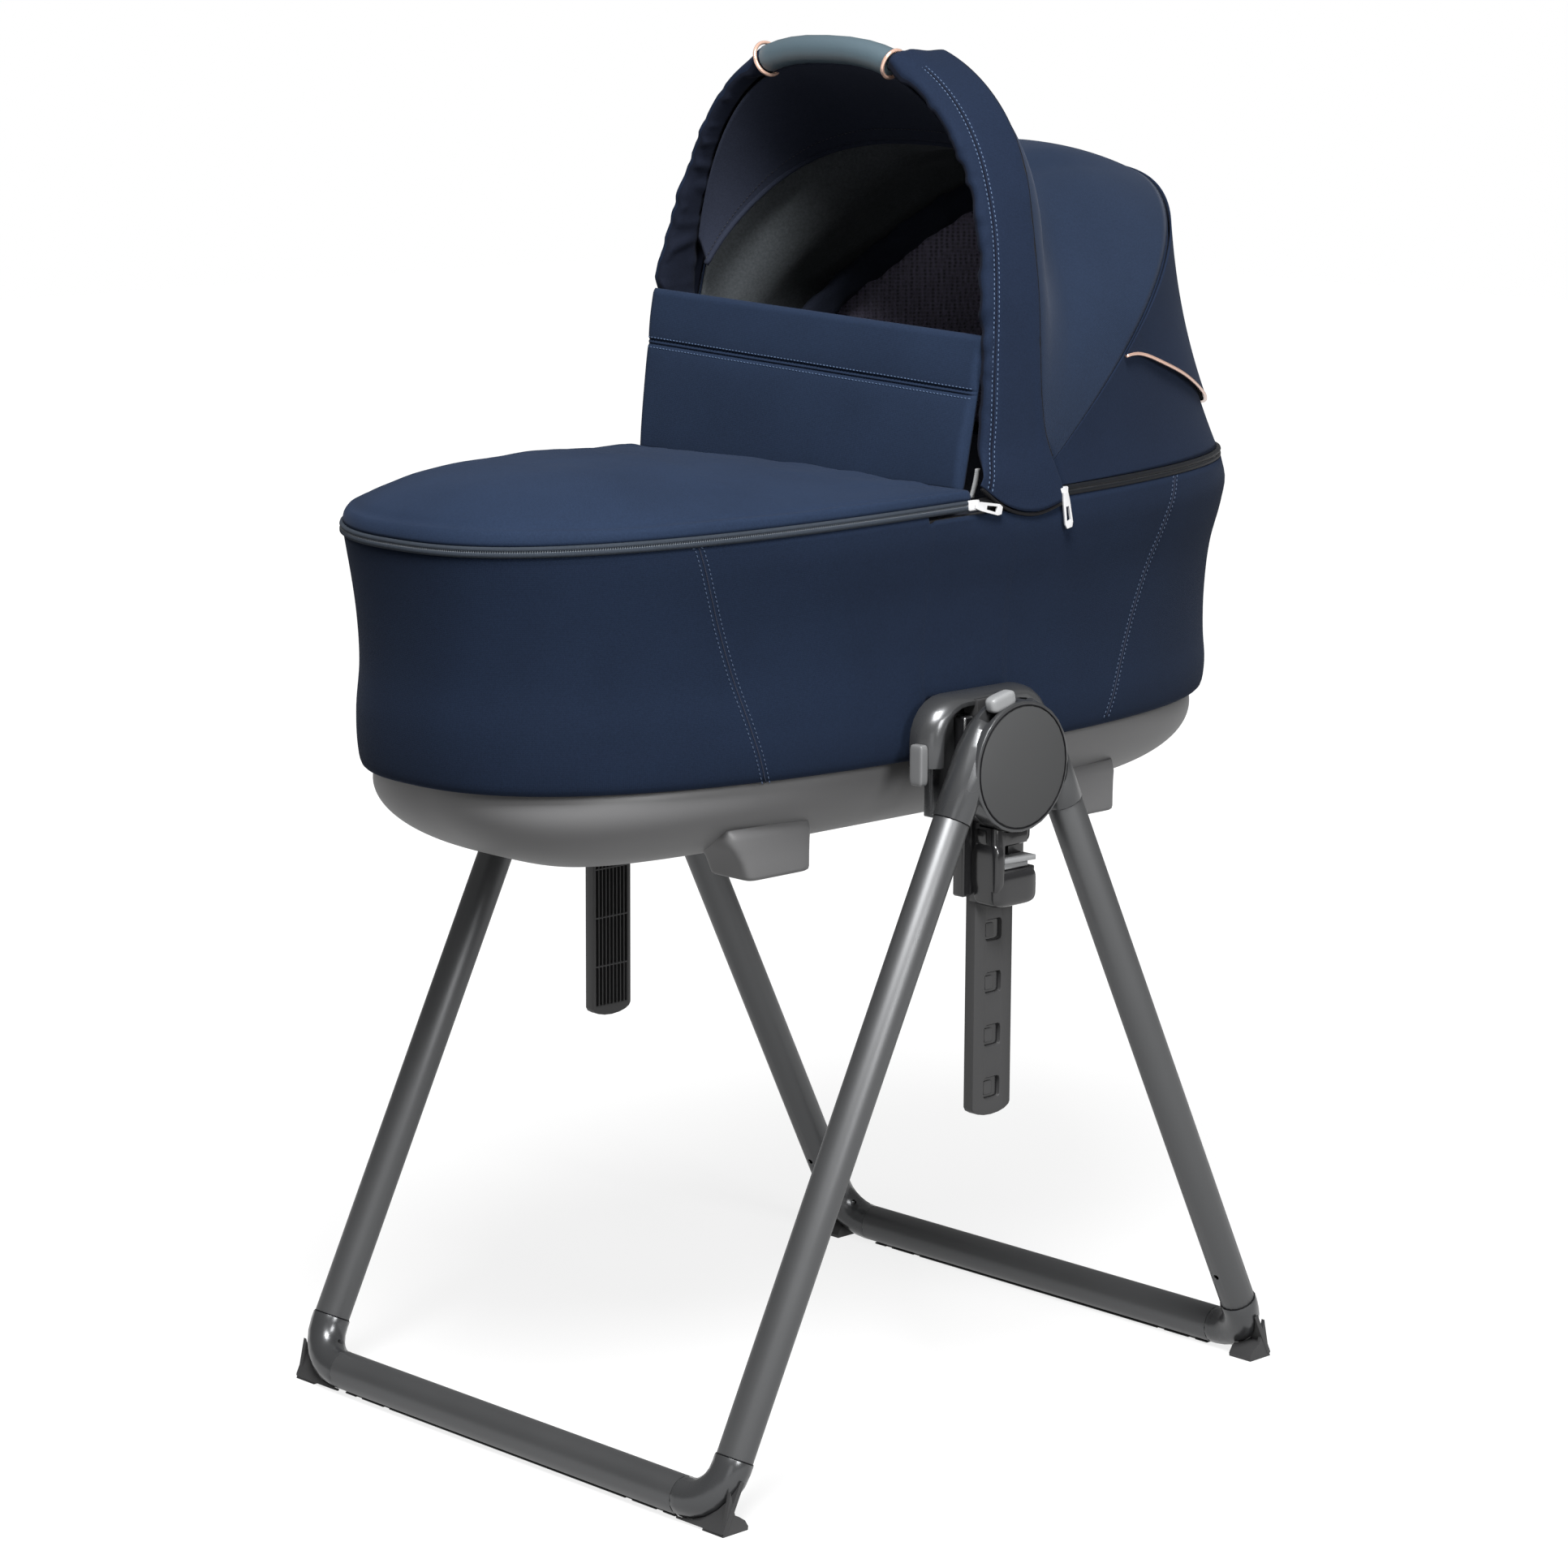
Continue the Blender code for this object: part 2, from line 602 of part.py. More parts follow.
def carrier_head():
    """Hollow arched cowl on top of the strip, with the tongue that carries the bassinet."""
    sections = [
        (HEAD_Y[0], HEAD_HALF, HEAD_TOP_Z, 0.034),
        (0.2200, HEAD_HALF - 0.0015, HEAD_TOP_Z - 0.0005, 0.034),
        (0.2275, HEAD_HALF - 0.006, HEAD_TOP_Z - 0.002, 0.033),
        (HEAD_Y[1], HEAD_HALF - 0.0115, HEAD_TOP_Z - 0.005, 0.031),
    ]
    rings = []
    for y, half, top, radius in sections:
        rings.append([(x, y, z) for x, z in arch_outline(half, top, radius, HEM_Z)])
    shell = loft(rings)
    cave = prism(arch_outline(0.0570, 0.6085, 0.027, HEM_Z - 0.05), "Y", HEAD_Y[0] + 0.0038, 0.26)
    half = STRIP_HALF + GAP
    crown = box((-half, 0.2190, 0.600), (half, CHANNEL_OUTER_Y, 0.6131))
    slot = box((-0.0700, 0.2040, 0.5500), (-0.0586, 0.2140, 0.5945), edge=0.001)
    hole = [(0.016, 0.2270, 0.61), (0.016, 0.2270, 0.62)]
    screw = sweep(hole, (0, 1, 0), [0.0022] * 2, segments=12)
    cut(shell, cave, crown, slot, screw)
    skirt = box((-0.0568, HEAD_Y[0], 0.5200), (0.0568, 0.2189, 0.5990), edge=0.001)
    low, high = TONGUE_Z
    ledge = box((-TONGUE_HALF, TONGUE_Y[0], low), (TONGUE_HALF, 0.2095, low + 0.008))
    tongue = box((-TONGUE_HALF, TONGUE_Y[0], low), (TONGUE_HALF, TONGUE_Y[1], high), edge=0.0006)
    return union(shell, skirt, ledge, tongue)


def release_tab():
    """Grey slide in the head's front leg that frees the bassinet."""
    return box((-0.0692, 0.2070, 0.5465), (-0.0594, 0.2120, 0.5875), edge=0.0016, segments=2)


# Bassinet


def rim_height(x):
    along = (x - RIM_X) / RIM_A
    return 0.7644 + 0.0083 * along - 0.005 * along * along


def rounded_oblong(a, half_x, half_y, exponent=RIM_EXPONENT):
    """Point at angle a of an oblong whose corners are rounded more or less by the exponent."""
    c, s = math.cos(a), math.sin(a)
    x = RIM_X + half_x * math.copysign(abs(c) ** (2 / exponent), c)
    return x, half_y * math.copysign(abs(s) ** (2 / exponent), s)


def around():
    """Angles of the ring's points, starting half a step off the long axis."""
    return [math.tau * (i + 0.5) / AROUND for i in range(AROUND)]


def plan_ring(inset, exponent=RIM_EXPONENT):
    """Closed oblong in plan, set in from the rim line."""
    return [rounded_oblong(a, RIM_A - inset, RIM_B - inset, exponent) for a in around()]


def level_ring(inset, z, exponent=RIM_EXPONENT):
    return [(x, y, z) for x, y in plan_ring(inset, exponent)]


def rim_ring(inset, above):
    """Ring that follows the rim's gentle rise toward the head end."""
    return [(x, y, rim_height(x) + above) for x, y in plan_ring(inset)]


def hull_side(share, wall=0.0):
    """Inset, height and plan exponent of the moulded hull, from its edge at 0 to its floor at 1."""
    a = share * math.pi / 2
    spread = 1 - math.cos(a) ** (2 / HULL_CURVE) if share < 1 else 1.0
    rise = 1 - math.sin(a) ** (2 / HULL_CURVE)
    inset = HULL_INSET + HULL_SPREAD * spread + wall * math.cos(a)
    z = HULL_BOTTOM_Z + (HEM_Z - HULL_BOTTOM_Z) * rise + wall * math.sin(a)
    return inset, z, RIM_EXPONENT + 2.0 * share


def hull():
    """Moulded tub with four standing blocks, open at the top."""
    steps = (1.0, 0.88, 0.72, 0.55, 0.38, 0.2, 0.07, 0.0)

    def rings(wall):
        out = []
        for share in steps:
            inset, z, exponent = hull_side(share, wall)
            out.append(level_ring(inset, z, exponent))
        out.append(rim_ring(HULL_TOP_INSET + wall, -HULL_TOP_GAP))
        return out

    outer = loft(rings(0.0))
    blocks = []
    for x0, x1 in BLOCK_SPANS:
        for hand in (-1, 1):
            blocks.append(hull_block(x0, x1, hand))
    union(outer, *blocks)
    room = rings(HULL_WALL)
    room.append([(x, y, z + 0.05) for x, y, z in room[-1]])
    cut(outer, loft(room))
    return outer


def hull_block(x0, x1, hand):
    """Standing block under the hull: square toward the head end, swept toward the foot end."""
    profile = rounded(
        [(x0 + 0.012, BLOCK_Z), (x1, BLOCK_Z), (x1, 0.530), (x0 - 0.030, 0.530), (x0, 0.512)],
        [0.008, 0.004, 0, 0, 0.010],
        steps=3,
    )
    low, high = sorted(hand * y for y in BLOCK_Y)
    return prism(profile, "Y", low, high)


BODY_ROWS = (
    (0.978, 0.000, -0.0030),
    (0.890, 0.003, -0.0075),
    (0.790, 0.006, -0.0045),
    (0.630, 0.0095, 0.0040),
    (0.435, 0.011, 0.0085),
    (0.235, 0.008, 0.0090),
    (0.110, 0.0085, 0.0070),
    (0.000, 0.011, 0.0090),
)


def body_ring(share, foot_inset, head_inset, deeper=0.0):
    """Ring of the fabric side between hem (share 0) and rim (share 1)."""
    points = []
    for a in around():
        toward_head = (1 + math.cos(a)) / 2
        inset = foot_inset + (head_inset - foot_inset) * toward_head + deeper
        x, y = rounded_oblong(a, RIM_A - inset, RIM_B - inset)
        points.append((x, y, HEM_Z + share * (rim_height(x) - HEM_Z)))
    return points


def fabric_body():
    """Fabric side, thickest at its hem, with a gap in the hem for each side bracket."""
    outer = [body_ring(*row) for row in BODY_ROWS]
    inner = [body_ring(*row, deeper=BODY_CLOTH) for row in BODY_ROWS[:-1]]
    inner.append(body_ring(BODY_ROWS[-1][0], HEM_INSET, HEM_INSET))
    side = loft(outer + inner[::-1], looped=True)
    for hand in (-1, 1):
        low, high = sorted((hand * 0.170, hand * 0.22))
        half = BRACKET_HALF + 2 * GAP
        cut(side, box((-half, low, 0.55), (half, high, 0.6086)))
    return side


def band(outer_inset, inner_inset, low, high):
    """Ring-shaped wall between two heights measured from the rim."""
    return loft(
        [
            rim_ring(outer_inset, low),
            rim_ring(outer_inset, high),
            rim_ring(inner_inset, high),
            rim_ring(inner_inset, low),
        ],
        looped=True,
    )


def liner():
    """Lining that hangs inside the hull's wall."""
    foot_z, below_rim = 0.572, -0.0045
    outer = [level_ring(0.0264, foot_z), rim_ring(0.0240, below_rim)]
    inner = [rim_ring(0.0280, below_rim), level_ring(0.0305, foot_z)]
    return loft(outer + inner, looped=True)


def rim_frame():
    """Tube that holds the fabric's upper edge in shape."""
    centre_inset, radius, sides = 0.0108, 0.0035, 6
    rings = []
    for k in range(sides):
        a = math.tau * k / sides
        rings.append(rim_ring(centre_inset + radius * math.cos(a), -0.0125 + radius * math.sin(a)))
    return loft(rings, looped=True)


def mattress():
    """Pad with drawn-in sides and a crown."""
    rows = (
        (0.0600, 0.5400),
        (0.0370, 0.5470),
        (0.0345, 0.5600),
        (0.0385, 0.5730),
        (0.0700, 0.5805),
        (0.1400, 0.5850),
    )
    return loft([level_ring(inset, z) for inset, z in rows])


def apron_outline():
    """Foot half of the rim, closed by a straight line across the bassinet."""
    share = (APRON_END_X - RIM_X) / RIM_A
    start = math.acos(math.copysign(abs(share) ** (RIM_EXPONENT / 2), share))
    points = []
    for k in range(27):
        a = start + (math.tau - 2 * start) * k / 26
        points.append((*rounded_oblong(a, RIM_A, RIM_B), 1.0))
    half = points[0][1]
    for k in range(1, 8):
        points.append((APRON_END_X, -half + 2 * half * k / 8, 0.35))
    return points


def apron():
    """Padded cover over the foot half, flat at its edge and crowned in the middle."""
    outline = apron_outline()

    def ring(scale, drop, crown_height):
        out = []
        for x, y, side in outline:
            px = APRON_CENTRE_X + (x - APRON_CENTRE_X) * scale
            py = y * scale
            crown = crown_height * (1 - scale**2.6)
            out.append((px, py, rim_height(px) + drop * side + crown))
        return out

    rings = [ring(s, APRON_UNDER, APRON_CROWN - 0.004) for s in (0.2, 0.7)]
    rings += [ring(s, APRON_UNDER, 0.0) for s in (0.955, 1.0)]
    rings.append(ring(1.003, (APRON_UNDER + APRON_EDGE) / 2, 0.0))
    rings += [ring(s, APRON_EDGE, APRON_CROWN) for s in (0.985, 0.9, 0.75, 0.5, 0.2)]
    return loft(rings)


def wind_flap():
    """Padded upright panel across the bassinet behind the apron."""
    rows = (
        (0.7715, -0.0036, 0.0060),
        (0.7900, -0.0040, 0.0070),
        (0.8600, -0.0020, 0.0085),
        (0.8990, 0.0000, 0.0095),
    )
    outer, inner = [], []
    for z, front, back in rows:
        ys = [FLAP_HALF * (k / 5 - 1) for k in range(11)]
        outer.append([(front, y, z) for y in ys])
        inner.append([(back, y, z) for y in ys])
    return slab(outer, inner)


def side_bracket():
    """Downward-open hook on the bassinet's side that drops over the carrier head's tongue."""
    half, top, lip_outer = BRACKET_HALF, 0.6080, HEAD_Y[0] - 0.0004
    plate = box((-half, 0.1880, 0.5560), (half, TONGUE_Y[0] - 2 * GAP, top), edge=0.0006)
    roof = box((-half, 0.1990, 0.6035), (half, lip_outer, top))
    lip = box((-half, TONGUE_Y[1] + 2 * GAP, 0.5760), (half, lip_outer, 0.6060))
    return union(plate, roof, lip)


def zip_slider(x):
    """Body of a zip's slider, on the outside of the rim."""
    z = rim_height(x)
    return box((x - 0.006, 0.2076, z - 0.0042), (x + 0.006, 0.2112, z + 0.0040), edge=0.0008)


def zip_pull(x, z, along, down):
    """Flat pull with a window, hanging from its slider along the given direction."""
    direction = Vector((along, 0.0, -down)).normalized()
    across = Vector((direction.z, 0.0, -direction.x))
    start = Vector((x, 0.2116, z))
    lengths = (0.0, 0.006, 0.026, 0.030)
    widths = (0.0026, 0.0036, 0.0046, 0.0030)
    ring = [start + direction * l + across * w for l, w in zip(lengths, widths)]
    for l, w in zip(reversed(lengths), reversed(widths)):
        ring.append(start + direction * l - across * w)
    plate = loft([ring, [p + Vector((0, 0.0018, 0)) for p in ring]])
    middle = start + direction * 0.018
    corners = []
    for l, w in ((-0.006, 0.0016), (0.006, 0.0024), (0.006, -0.0024), (-0.006, -0.0016)):
        corners.append(middle + direction * l + across * w + Vector((0, -0.001, 0)))
    return cut(plate, loft([corners, [p + Vector((0, 0.004, 0)) for p in corners]]))


# Hood


def bow_point(bow, t, outward=0.0):
    """Point of an arch that stands on the hood's pivot axis, tilted back by the bow's angle."""
    angle, radius, half, exponent = bow
    tilt = math.radians(angle)
    c, s = math.cos(t), max(math.sin(t), 0.0)
    r = (radius + outward) * s ** (2 / exponent)
    y = (half + outward) * math.copysign(abs(c) ** (2 / exponent), c)
    return PIVOT + Vector((r * math.sin(tilt), y, r * math.cos(tilt)))


def bow_normal(bow):
    tilt = math.radians(bow[0])
    return Vector((math.cos(tilt), 0.0, -math.sin(tilt)))


def t_at_reach(bow, reach):
    """Arch parameter at which the arch is this far from the pivot axis."""
    return math.asin((reach / bow[1]) ** (bow[3] / 2))


def bow_stations(bow, reach, count):
    """Even steps of arch parameter from one side over the top to the other."""
    start = t_at_reach(bow, reach)
    return [start + (math.pi - 2 * start) * k / count for k in range(count + 1)]


def bow_tube(bow, reach, radius=BOW_R):
    """Round tube along a bow, from this far off the pivot axis on one side to the other."""
    path = [bow_point(bow, t) for t in bow_stations(bow, reach, BOW_STEPS)]
    return sweep(path, bow_normal(bow), [radius] * len(path), segments=8)


def bow_with_eyes(bow, reach, eye_y):
    """Arch tube with a flat eye at each end, bored for the hinge pin."""
    tube = bow_tube(bow, reach)
    centre = (PIVOT.x, PIVOT.z)
    for hand in (-1, 1):
        low, high = sorted(hand * y for y in eye_y)
        eye = disc(EYE_R, low, high, segments=14, centre=centre)
        union(tube, eye, eye_neck(bow[0], low, high, reach + 0.006))
    return cut(tube, disc(EYE_HOLE_R, -0.25, 0.25, segments=10, centre=centre))


def eye_neck(angle, low, high, reach):
    """Flat link from the pivot axis out along a bow."""
    tilt = math.radians(angle)
    out = Vector((math.sin(tilt), math.cos(tilt)))
    side = Vector((out.y, -out.x))
    base = Vector((PIVOT.x, PIVOT.z))
    corners = [base + side * 0.0035, base + out * reach + side * 0.0035]
    corners += [base + out * reach - side * 0.0035, base - side * 0.0035]
    return prism([tuple(p) for p in corners], "Y", low, high)


def hood_hinge():
    """Block on the tub's edge with the pin that both bows turn on."""
    block = box((0.050, 0.1872, 0.7500), (0.080, 0.1912, 0.7755), edge=0.001)
    pin = disc(HINGE_PIN_R, 0.190, FRONT_EYE_Y[1] + GAP, segments=10, centre=(PIVOT.x, PIVOT.z))
    return union(block, pin)


def bow_clearance():
    """The front bow's tube made a little thicker, to cut its way through what it wears."""
    return bow_tube(FRONT_BOW, FRONT_TUBE_REACH, BOW_R + 0.0005)


def grip_edge():
    """Arch parameter at the grip's end."""
    return math.acos((GRIP_HALF_Y / FRONT_BOW[2]) ** (FRONT_BOW[3] / 2))


def grip():
    start = grip_edge()
    path = [bow_point(FRONT_BOW, start + (math.pi - 2 * start) * k / 8) for k in range(9)]
    body = sweep(path, bow_normal(FRONT_BOW), [GRIP_R] * len(path), segments=14)
    return cut(body, bow_clearance())


def grip_ring():
    path = [bow_point(FRONT_BOW, grip_edge() - d) for d in (0.006, 0.014)]
    ring = sweep(path, bow_normal(FRONT_BOW), [GRIP_R + 0.0018] * 2, segments=20)
    return cut(ring, bow_clearance())


def bow_sleeve():
    """Soft sleeve round one side of the front bow, wider toward the front and over the top."""
    start = t_at_reach(FRONT_BOW, 0.044)
    end = grip_edge() - 0.018
    normal = bow_normal(FRONT_BOW)
    rings = []
    stations = 9
    for k in range(stations + 1):
        t = start + (end - start) * k / stations
        point = bow_point(FRONT_BOW, t)
        tangent = (bow_point(FRONT_BOW, t + 0.01) - bow_point(FRONT_BOW, t - 0.01)).normalized()
        across = normal.cross(tangent).normalized()
        reach = (point - Vector((PIVOT.x, point.y, PIVOT.z))).length
        forward = -0.052 + 0.040 * reach / 0.35
        back = min(0.026 + 0.010 * reach / 0.35, 0.255 * reach - 0.0050)
        back = max(back, 0.0058)
        section = rounded(
            [(forward, -0.0075), (back, -0.0075), (back, 0.0075), (forward, 0.0075)],
            [0.004, 0.001, 0.001, 0.004],
            steps=2,
        )
        rings.append([point + normal * b + across * n for b, n in section])
    return cut(loft(rings), bow_clearance())


def canopy():
    """Main panel of the hood, from the sleeves back over the rear bow."""
    rows, columns = 5, 18
    stations = bow_stations(REAR_CLOTH, 0.050, columns)
    outer, inner = [], []
    for i in range(rows + 1):
        share = i / rows
        rows_out, rows_in = [], []
        for t in stations:
            reach = REAR_CLOTH[1] * math.sin(t) ** (2 / REAR_CLOTH[3])
            behind = 0.0415 if reach > 0.15 else 0.030
            start = FRONT_BOW[0] + math.degrees(math.atan(behind / reach))
            end = REAR_CLOTH[0] - math.degrees(0.0003 / reach)
            angle = start + (end - start) * share
            dip = 0.006 * math.sin(math.pi * share) * math.sin(t)
            mixed = (
                angle,
                FRONT_BOW[1] + 0.0075 + (REAR_CLOTH[1] - FRONT_BOW[1] - 0.0075) * share - dip,
                FRONT_BOW[2] + 0.0075 + (REAR_CLOTH[2] - FRONT_BOW[2] - 0.0075) * share,
                FRONT_BOW[3] + (REAR_CLOTH[3] - FRONT_BOW[3]) * share,
            )
            rows_out.append(bow_point(mixed, t))
            rows_in.append(bow_point(mixed, t, outward=-CLOTH))
        outer.append(rows_out)
        inner.append(rows_in)
    return slab(outer, inner)


def back_point(t, share, outward=0.0):
    """Point of the hood's back, from the rear bow (share 0) down to the rim (share 1)."""
    top = bow_point((REAR_CLOTH[0] + 0.1, *REAR_CLOTH[1:]), t)
    start = t_at_reach(REAR_CLOTH, BACK_START)
    turn = (t - start) / (math.pi - 2 * start)
    a = math.radians(72) * (1 - 2 * turn)
    x, y = rounded_oblong(a, RIM_A - 0.001, RIM_B - 0.001)
    foot_point = Vector((x, y, rim_height(x) + 0.0045))
    point = top.lerp(foot_point, share)
    away = Vector((point.x - 0.10, point.y * 1.1, (point.z - 0.70) * 0.6)).normalized()
    bulge = 0.026 * 4 * share * (1 - share) * math.sin(t) ** 1.5
    return point + away * (bulge + outward)


def back_panel():
    """Rear panel of the hood, from the rear bow to the rim."""
    stations = bow_stations(REAR_CLOTH, BACK_START, 20)
    shares = (0.004, 0.2, 0.4, 0.6, 0.8, 1.0)
    outer = [[back_point(t, s) for t in stations] for s in shares]
    inner = [[back_point(t, s, -CLOTH) for t in stations] for s in shares]
    return slab(outer, inner)


def vent_flap():
    """Loose flap over the back panel, standing off it at its lower edge."""
    first, last, columns, rows = 0.40, math.pi - 0.40, 16, 5
    outer, inner = [], []
    for i in range(rows + 1):
        row_out, row_in = [], []
        for k in range(columns + 1):
            t = first + (last - first) * k / columns
            spread = abs(t - math.pi / 2) / (math.pi / 2 - first)
            reach = 0.06 + 0.81 * (1 - spread**2.4)
            share = 0.02 + (reach - 0.02) * i / rows
            off = 0.0015 + 0.024 * (i / rows) ** 1.6 * (1 - spread**2)
            row_out.append(back_point(t, share, off + 0.003))
            row_in.append(back_point(t, share, off))
        outer.append(row_out)
        inner.append(row_in)
    return slab(outer, inner)


def build_stand():
    for hand, name in ((-1, "front"), (1, "rear")):
        pivot = (0.0, 0.0, HUB_Z)
        both_sides(lambda: leg_tube(hand), name + "_leg", "frame", pivot)
        both_sides(lambda: elbow(hand), name + "_elbow", "casting", pivot)
        both_sides(lambda: foot(hand), name + "_foot", "rubber", pivot)
        name_piece(bar_tube(hand), name + "_bar", "frame", pivot=pivot)
        name_piece(runner(hand), name + "_runner", "rubber", pivot=pivot)
    both_sides(front_casting, "front_casting", "casting", (0.0, 0.0, HUB_Z))
    both_sides(rear_casting, "rear_casting", "casting", (0.0, 0.0, HUB_Z))
    both_sides(slider_housing, "slider_housing", "black")
    both_sides(hub_cap, "hub_cap", "cap")
    both_sides(fold_button, "fold_button", "grey", (-0.0198, 0.2545, 0.6103))
    both_sides(height_lever, "height_lever", "grey", (0.0, 0.2460, 0.4795))
    both_sides(support_strip, "support_strip", "rubber")
    both_sides(carrier_head, "carrier_head", "casting")
    both_sides(release_tab, "release_tab", "grey", (-0.0643, 0.2095, 0.5670))


def build_bassinet():
    name_piece(hull(), "hull", "hull")
    name_piece(fabric_body(), "fabric_body", "navy")
    name_piece(liner(), "liner", "lining")
    name_piece(rim_frame(), "rim_frame", "rubber")
    name_piece(band(0.0, ZIP_DEPTH, -ZIP_BELOW, ZIP_ABOVE), "zip_band", "zip")
    name_piece(mattress(), "mattress", "white")
    name_piece(apron(), "apron", "navy")
    name_piece(wind_flap(), "wind_flap", "navy", pivot=FLAP_HINGE)
    both_sides(side_bracket, "side_bracket", "rubber")
    both_sides(hood_hinge, "hood_hinge", "rubber")
    for name, x, along, down in (("front", -0.004, 1.0, 0.22), ("rear", 0.100, 0.18, 1.0)):
        z = rim_height(x)
        name_piece(zip_slider(x), "zip_slider_" + name, "metal", mirrored=True)
        pull = zip_pull(x, z, along, down)
        name_piece(pull, "zip_pull_" + name, "metal", mirrored=True, pivot=(x, 0.2116, z))


def build_hood():
    front = bow_with_eyes(FRONT_BOW, FRONT_TUBE_REACH, FRONT_EYE_Y)
    rear = bow_with_eyes(REAR_BOW, REAR_TUBE_REACH, REAR_EYE_Y)
    name_piece(front, "front_bow", "frame", pivot=PIVOT)
    name_piece(rear, "rear_bow", "frame", pivot=PIVOT)
    name_piece(grip(), "grip", "leather", pivot=PIVOT)
    both_sides(grip_ring, "grip_ring", "rose", PIVOT)
    both_sides(bow_sleeve, "bow_sleeve", "navy", PIVOT)
    name_piece(canopy(), "canopy", "navy", pivot=PIVOT)
    name_piece(back_panel(), "back_panel", "navy", pivot=PIVOT)
    name_piece(vent_flap(), "vent_flap", "navy", pivot=PIVOT)


clear_scene()
build_stand()
build_bassinet()
build_hood()
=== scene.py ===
# %% [markdown]
# # Bassinet on a folding stand
#
# A padded cloth carrier with a hood, held between two crossed tube frames. The rigid pieces and
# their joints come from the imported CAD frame. This script adds what cloth, stitches, zips and
# finishes bring to it.

import json
import math

import bmesh
import bpy
import numpy as np
from mathutils import Matrix, Vector, noise


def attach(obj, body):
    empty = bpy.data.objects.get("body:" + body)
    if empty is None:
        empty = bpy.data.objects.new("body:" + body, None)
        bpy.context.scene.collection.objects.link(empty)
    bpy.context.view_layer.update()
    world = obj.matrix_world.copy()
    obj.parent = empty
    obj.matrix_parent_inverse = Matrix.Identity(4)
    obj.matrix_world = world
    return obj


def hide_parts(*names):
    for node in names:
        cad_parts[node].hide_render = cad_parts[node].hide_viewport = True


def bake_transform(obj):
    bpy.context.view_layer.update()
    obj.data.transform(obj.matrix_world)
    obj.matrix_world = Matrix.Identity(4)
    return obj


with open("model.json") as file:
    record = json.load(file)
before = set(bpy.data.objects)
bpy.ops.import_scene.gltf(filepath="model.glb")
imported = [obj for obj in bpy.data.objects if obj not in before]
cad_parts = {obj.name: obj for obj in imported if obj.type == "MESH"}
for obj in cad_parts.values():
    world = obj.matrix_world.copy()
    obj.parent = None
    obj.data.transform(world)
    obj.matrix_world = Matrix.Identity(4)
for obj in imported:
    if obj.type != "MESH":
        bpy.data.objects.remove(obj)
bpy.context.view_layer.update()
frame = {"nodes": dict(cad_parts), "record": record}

# %% [markdown]
# A bassinet's rim is an oblong with soft corners. One formula draws it, a circle whose exponent
# is raised above 2, and every cloth piece that meets the rim takes its edge from that formula,
# so that neighbours meet. In height the rim is a shallow arch that rises toward the head end.
# Places are measured from the stand's hub, and CENTRE_X moves them into the frame.

# %% Rim curve
CENTRE_X = -0.0226
RIM_X, RIM_A, RIM_B, RIM_EXPONENT = 0.0112, 0.4347, 0.207, 2.47
RIM_Z, RIM_RISE, RIM_ARCH = 0.7644, 0.0083, 0.005


def full_turn(count):
    """Angles at even steps all the way round."""
    return np.linspace(0, math.tau, count, endpoint=False)


def running_total(steps):
    """How far along each point lies, from the lengths of the steps between them."""
    return np.concatenate(([0], np.cumsum(steps)))


def rim_height(x):
    along = (x - RIM_X) / RIM_A
    return RIM_Z + RIM_RISE * along - RIM_ARCH * along * along


def rounded_pair(a, exponent):
    """Cosine and sine of a rounded oblong instead of a circle."""
    c, s = np.cos(a), np.sin(a)
    return np.sign(c) * np.abs(c) ** (2 / exponent), np.sign(s) * np.abs(s) ** (2 / exponent)


def rim_xy(a, inset=0.0, exponent=RIM_EXPONENT):
    c, s = rounded_pair(a, exponent)
    return RIM_X + (RIM_A - inset) * c, (RIM_B - inset) * s


def rim_angle(x, inset=0.0):
    """Angle of the rim's near side at a given x."""
    share = np.clip((x - RIM_X) / (RIM_A - inset), -1, 1)
    return -np.arccos(np.sign(share) * np.abs(share) ** (RIM_EXPONENT / 2))


def even_angles(count, start=0.0, end=math.tau):
    """Angles that cut the rim line into steps of equal length."""
    fine = np.linspace(start, end, 20001)
    x, y = rim_xy(fine)
    length = running_total(np.hypot(np.diff(x), np.diff(y)))
    return np.interp(np.linspace(0, length[-1], count), length, fine), length[-1]


print("rim is", round(even_angles(2)[1], 3), "m round")

# %% [markdown]
# Each bow of the hood is half of such an oblong, standing on the hood's hinge. Four numbers
# describe it: its tilt in degrees, its height above the hinge, its half width and its exponent.
# The cloth passes a little outside the rear bow, so it has a curve of its own.

# %% Bow curves
PIVOT = np.array((0.065, 0.0, 0.765))
FRONT_BOW = (-4.3, 0.350, 0.200, 2.6)
REAR_BOW = (50.0, 0.377, 0.197, 2.4)
REAR_CLOTH = (50.0, 0.3833, 0.2035, 2.4)


def bow_points(bow, t, outward=0.0):
    """Points of an arch on the hood's pivot axis. Its first number tilts it back, in degrees."""
    angle, radius, half, exponent = bow
    tilt = np.radians(angle)
    c, s = np.cos(t), np.maximum(np.sin(t), 0)
    r = (radius + outward) * s ** (2 / exponent)
    y = (half + outward) * np.sign(c) * np.abs(c) ** (2 / exponent)
    return np.stack([PIVOT[0] + r * np.sin(tilt), y, PIVOT[2] + r * np.cos(tilt)], -1)


def t_at_reach(bow, reach):
    """Parameter of the arch at a given distance from the pivot axis."""
    return math.asin((reach / bow[1]) ** (bow[3] / 2))


print("front bow's top:", bow_points(FRONT_BOW, np.array(math.pi / 2)).round(3))

# %% [markdown]
# Cloth edges are cut to smooth curves. A few measured points and cubic pieces between them give
# such a curve, and a smooth step fades one shape into the next without a crease.

# %% Smooth curves and steps


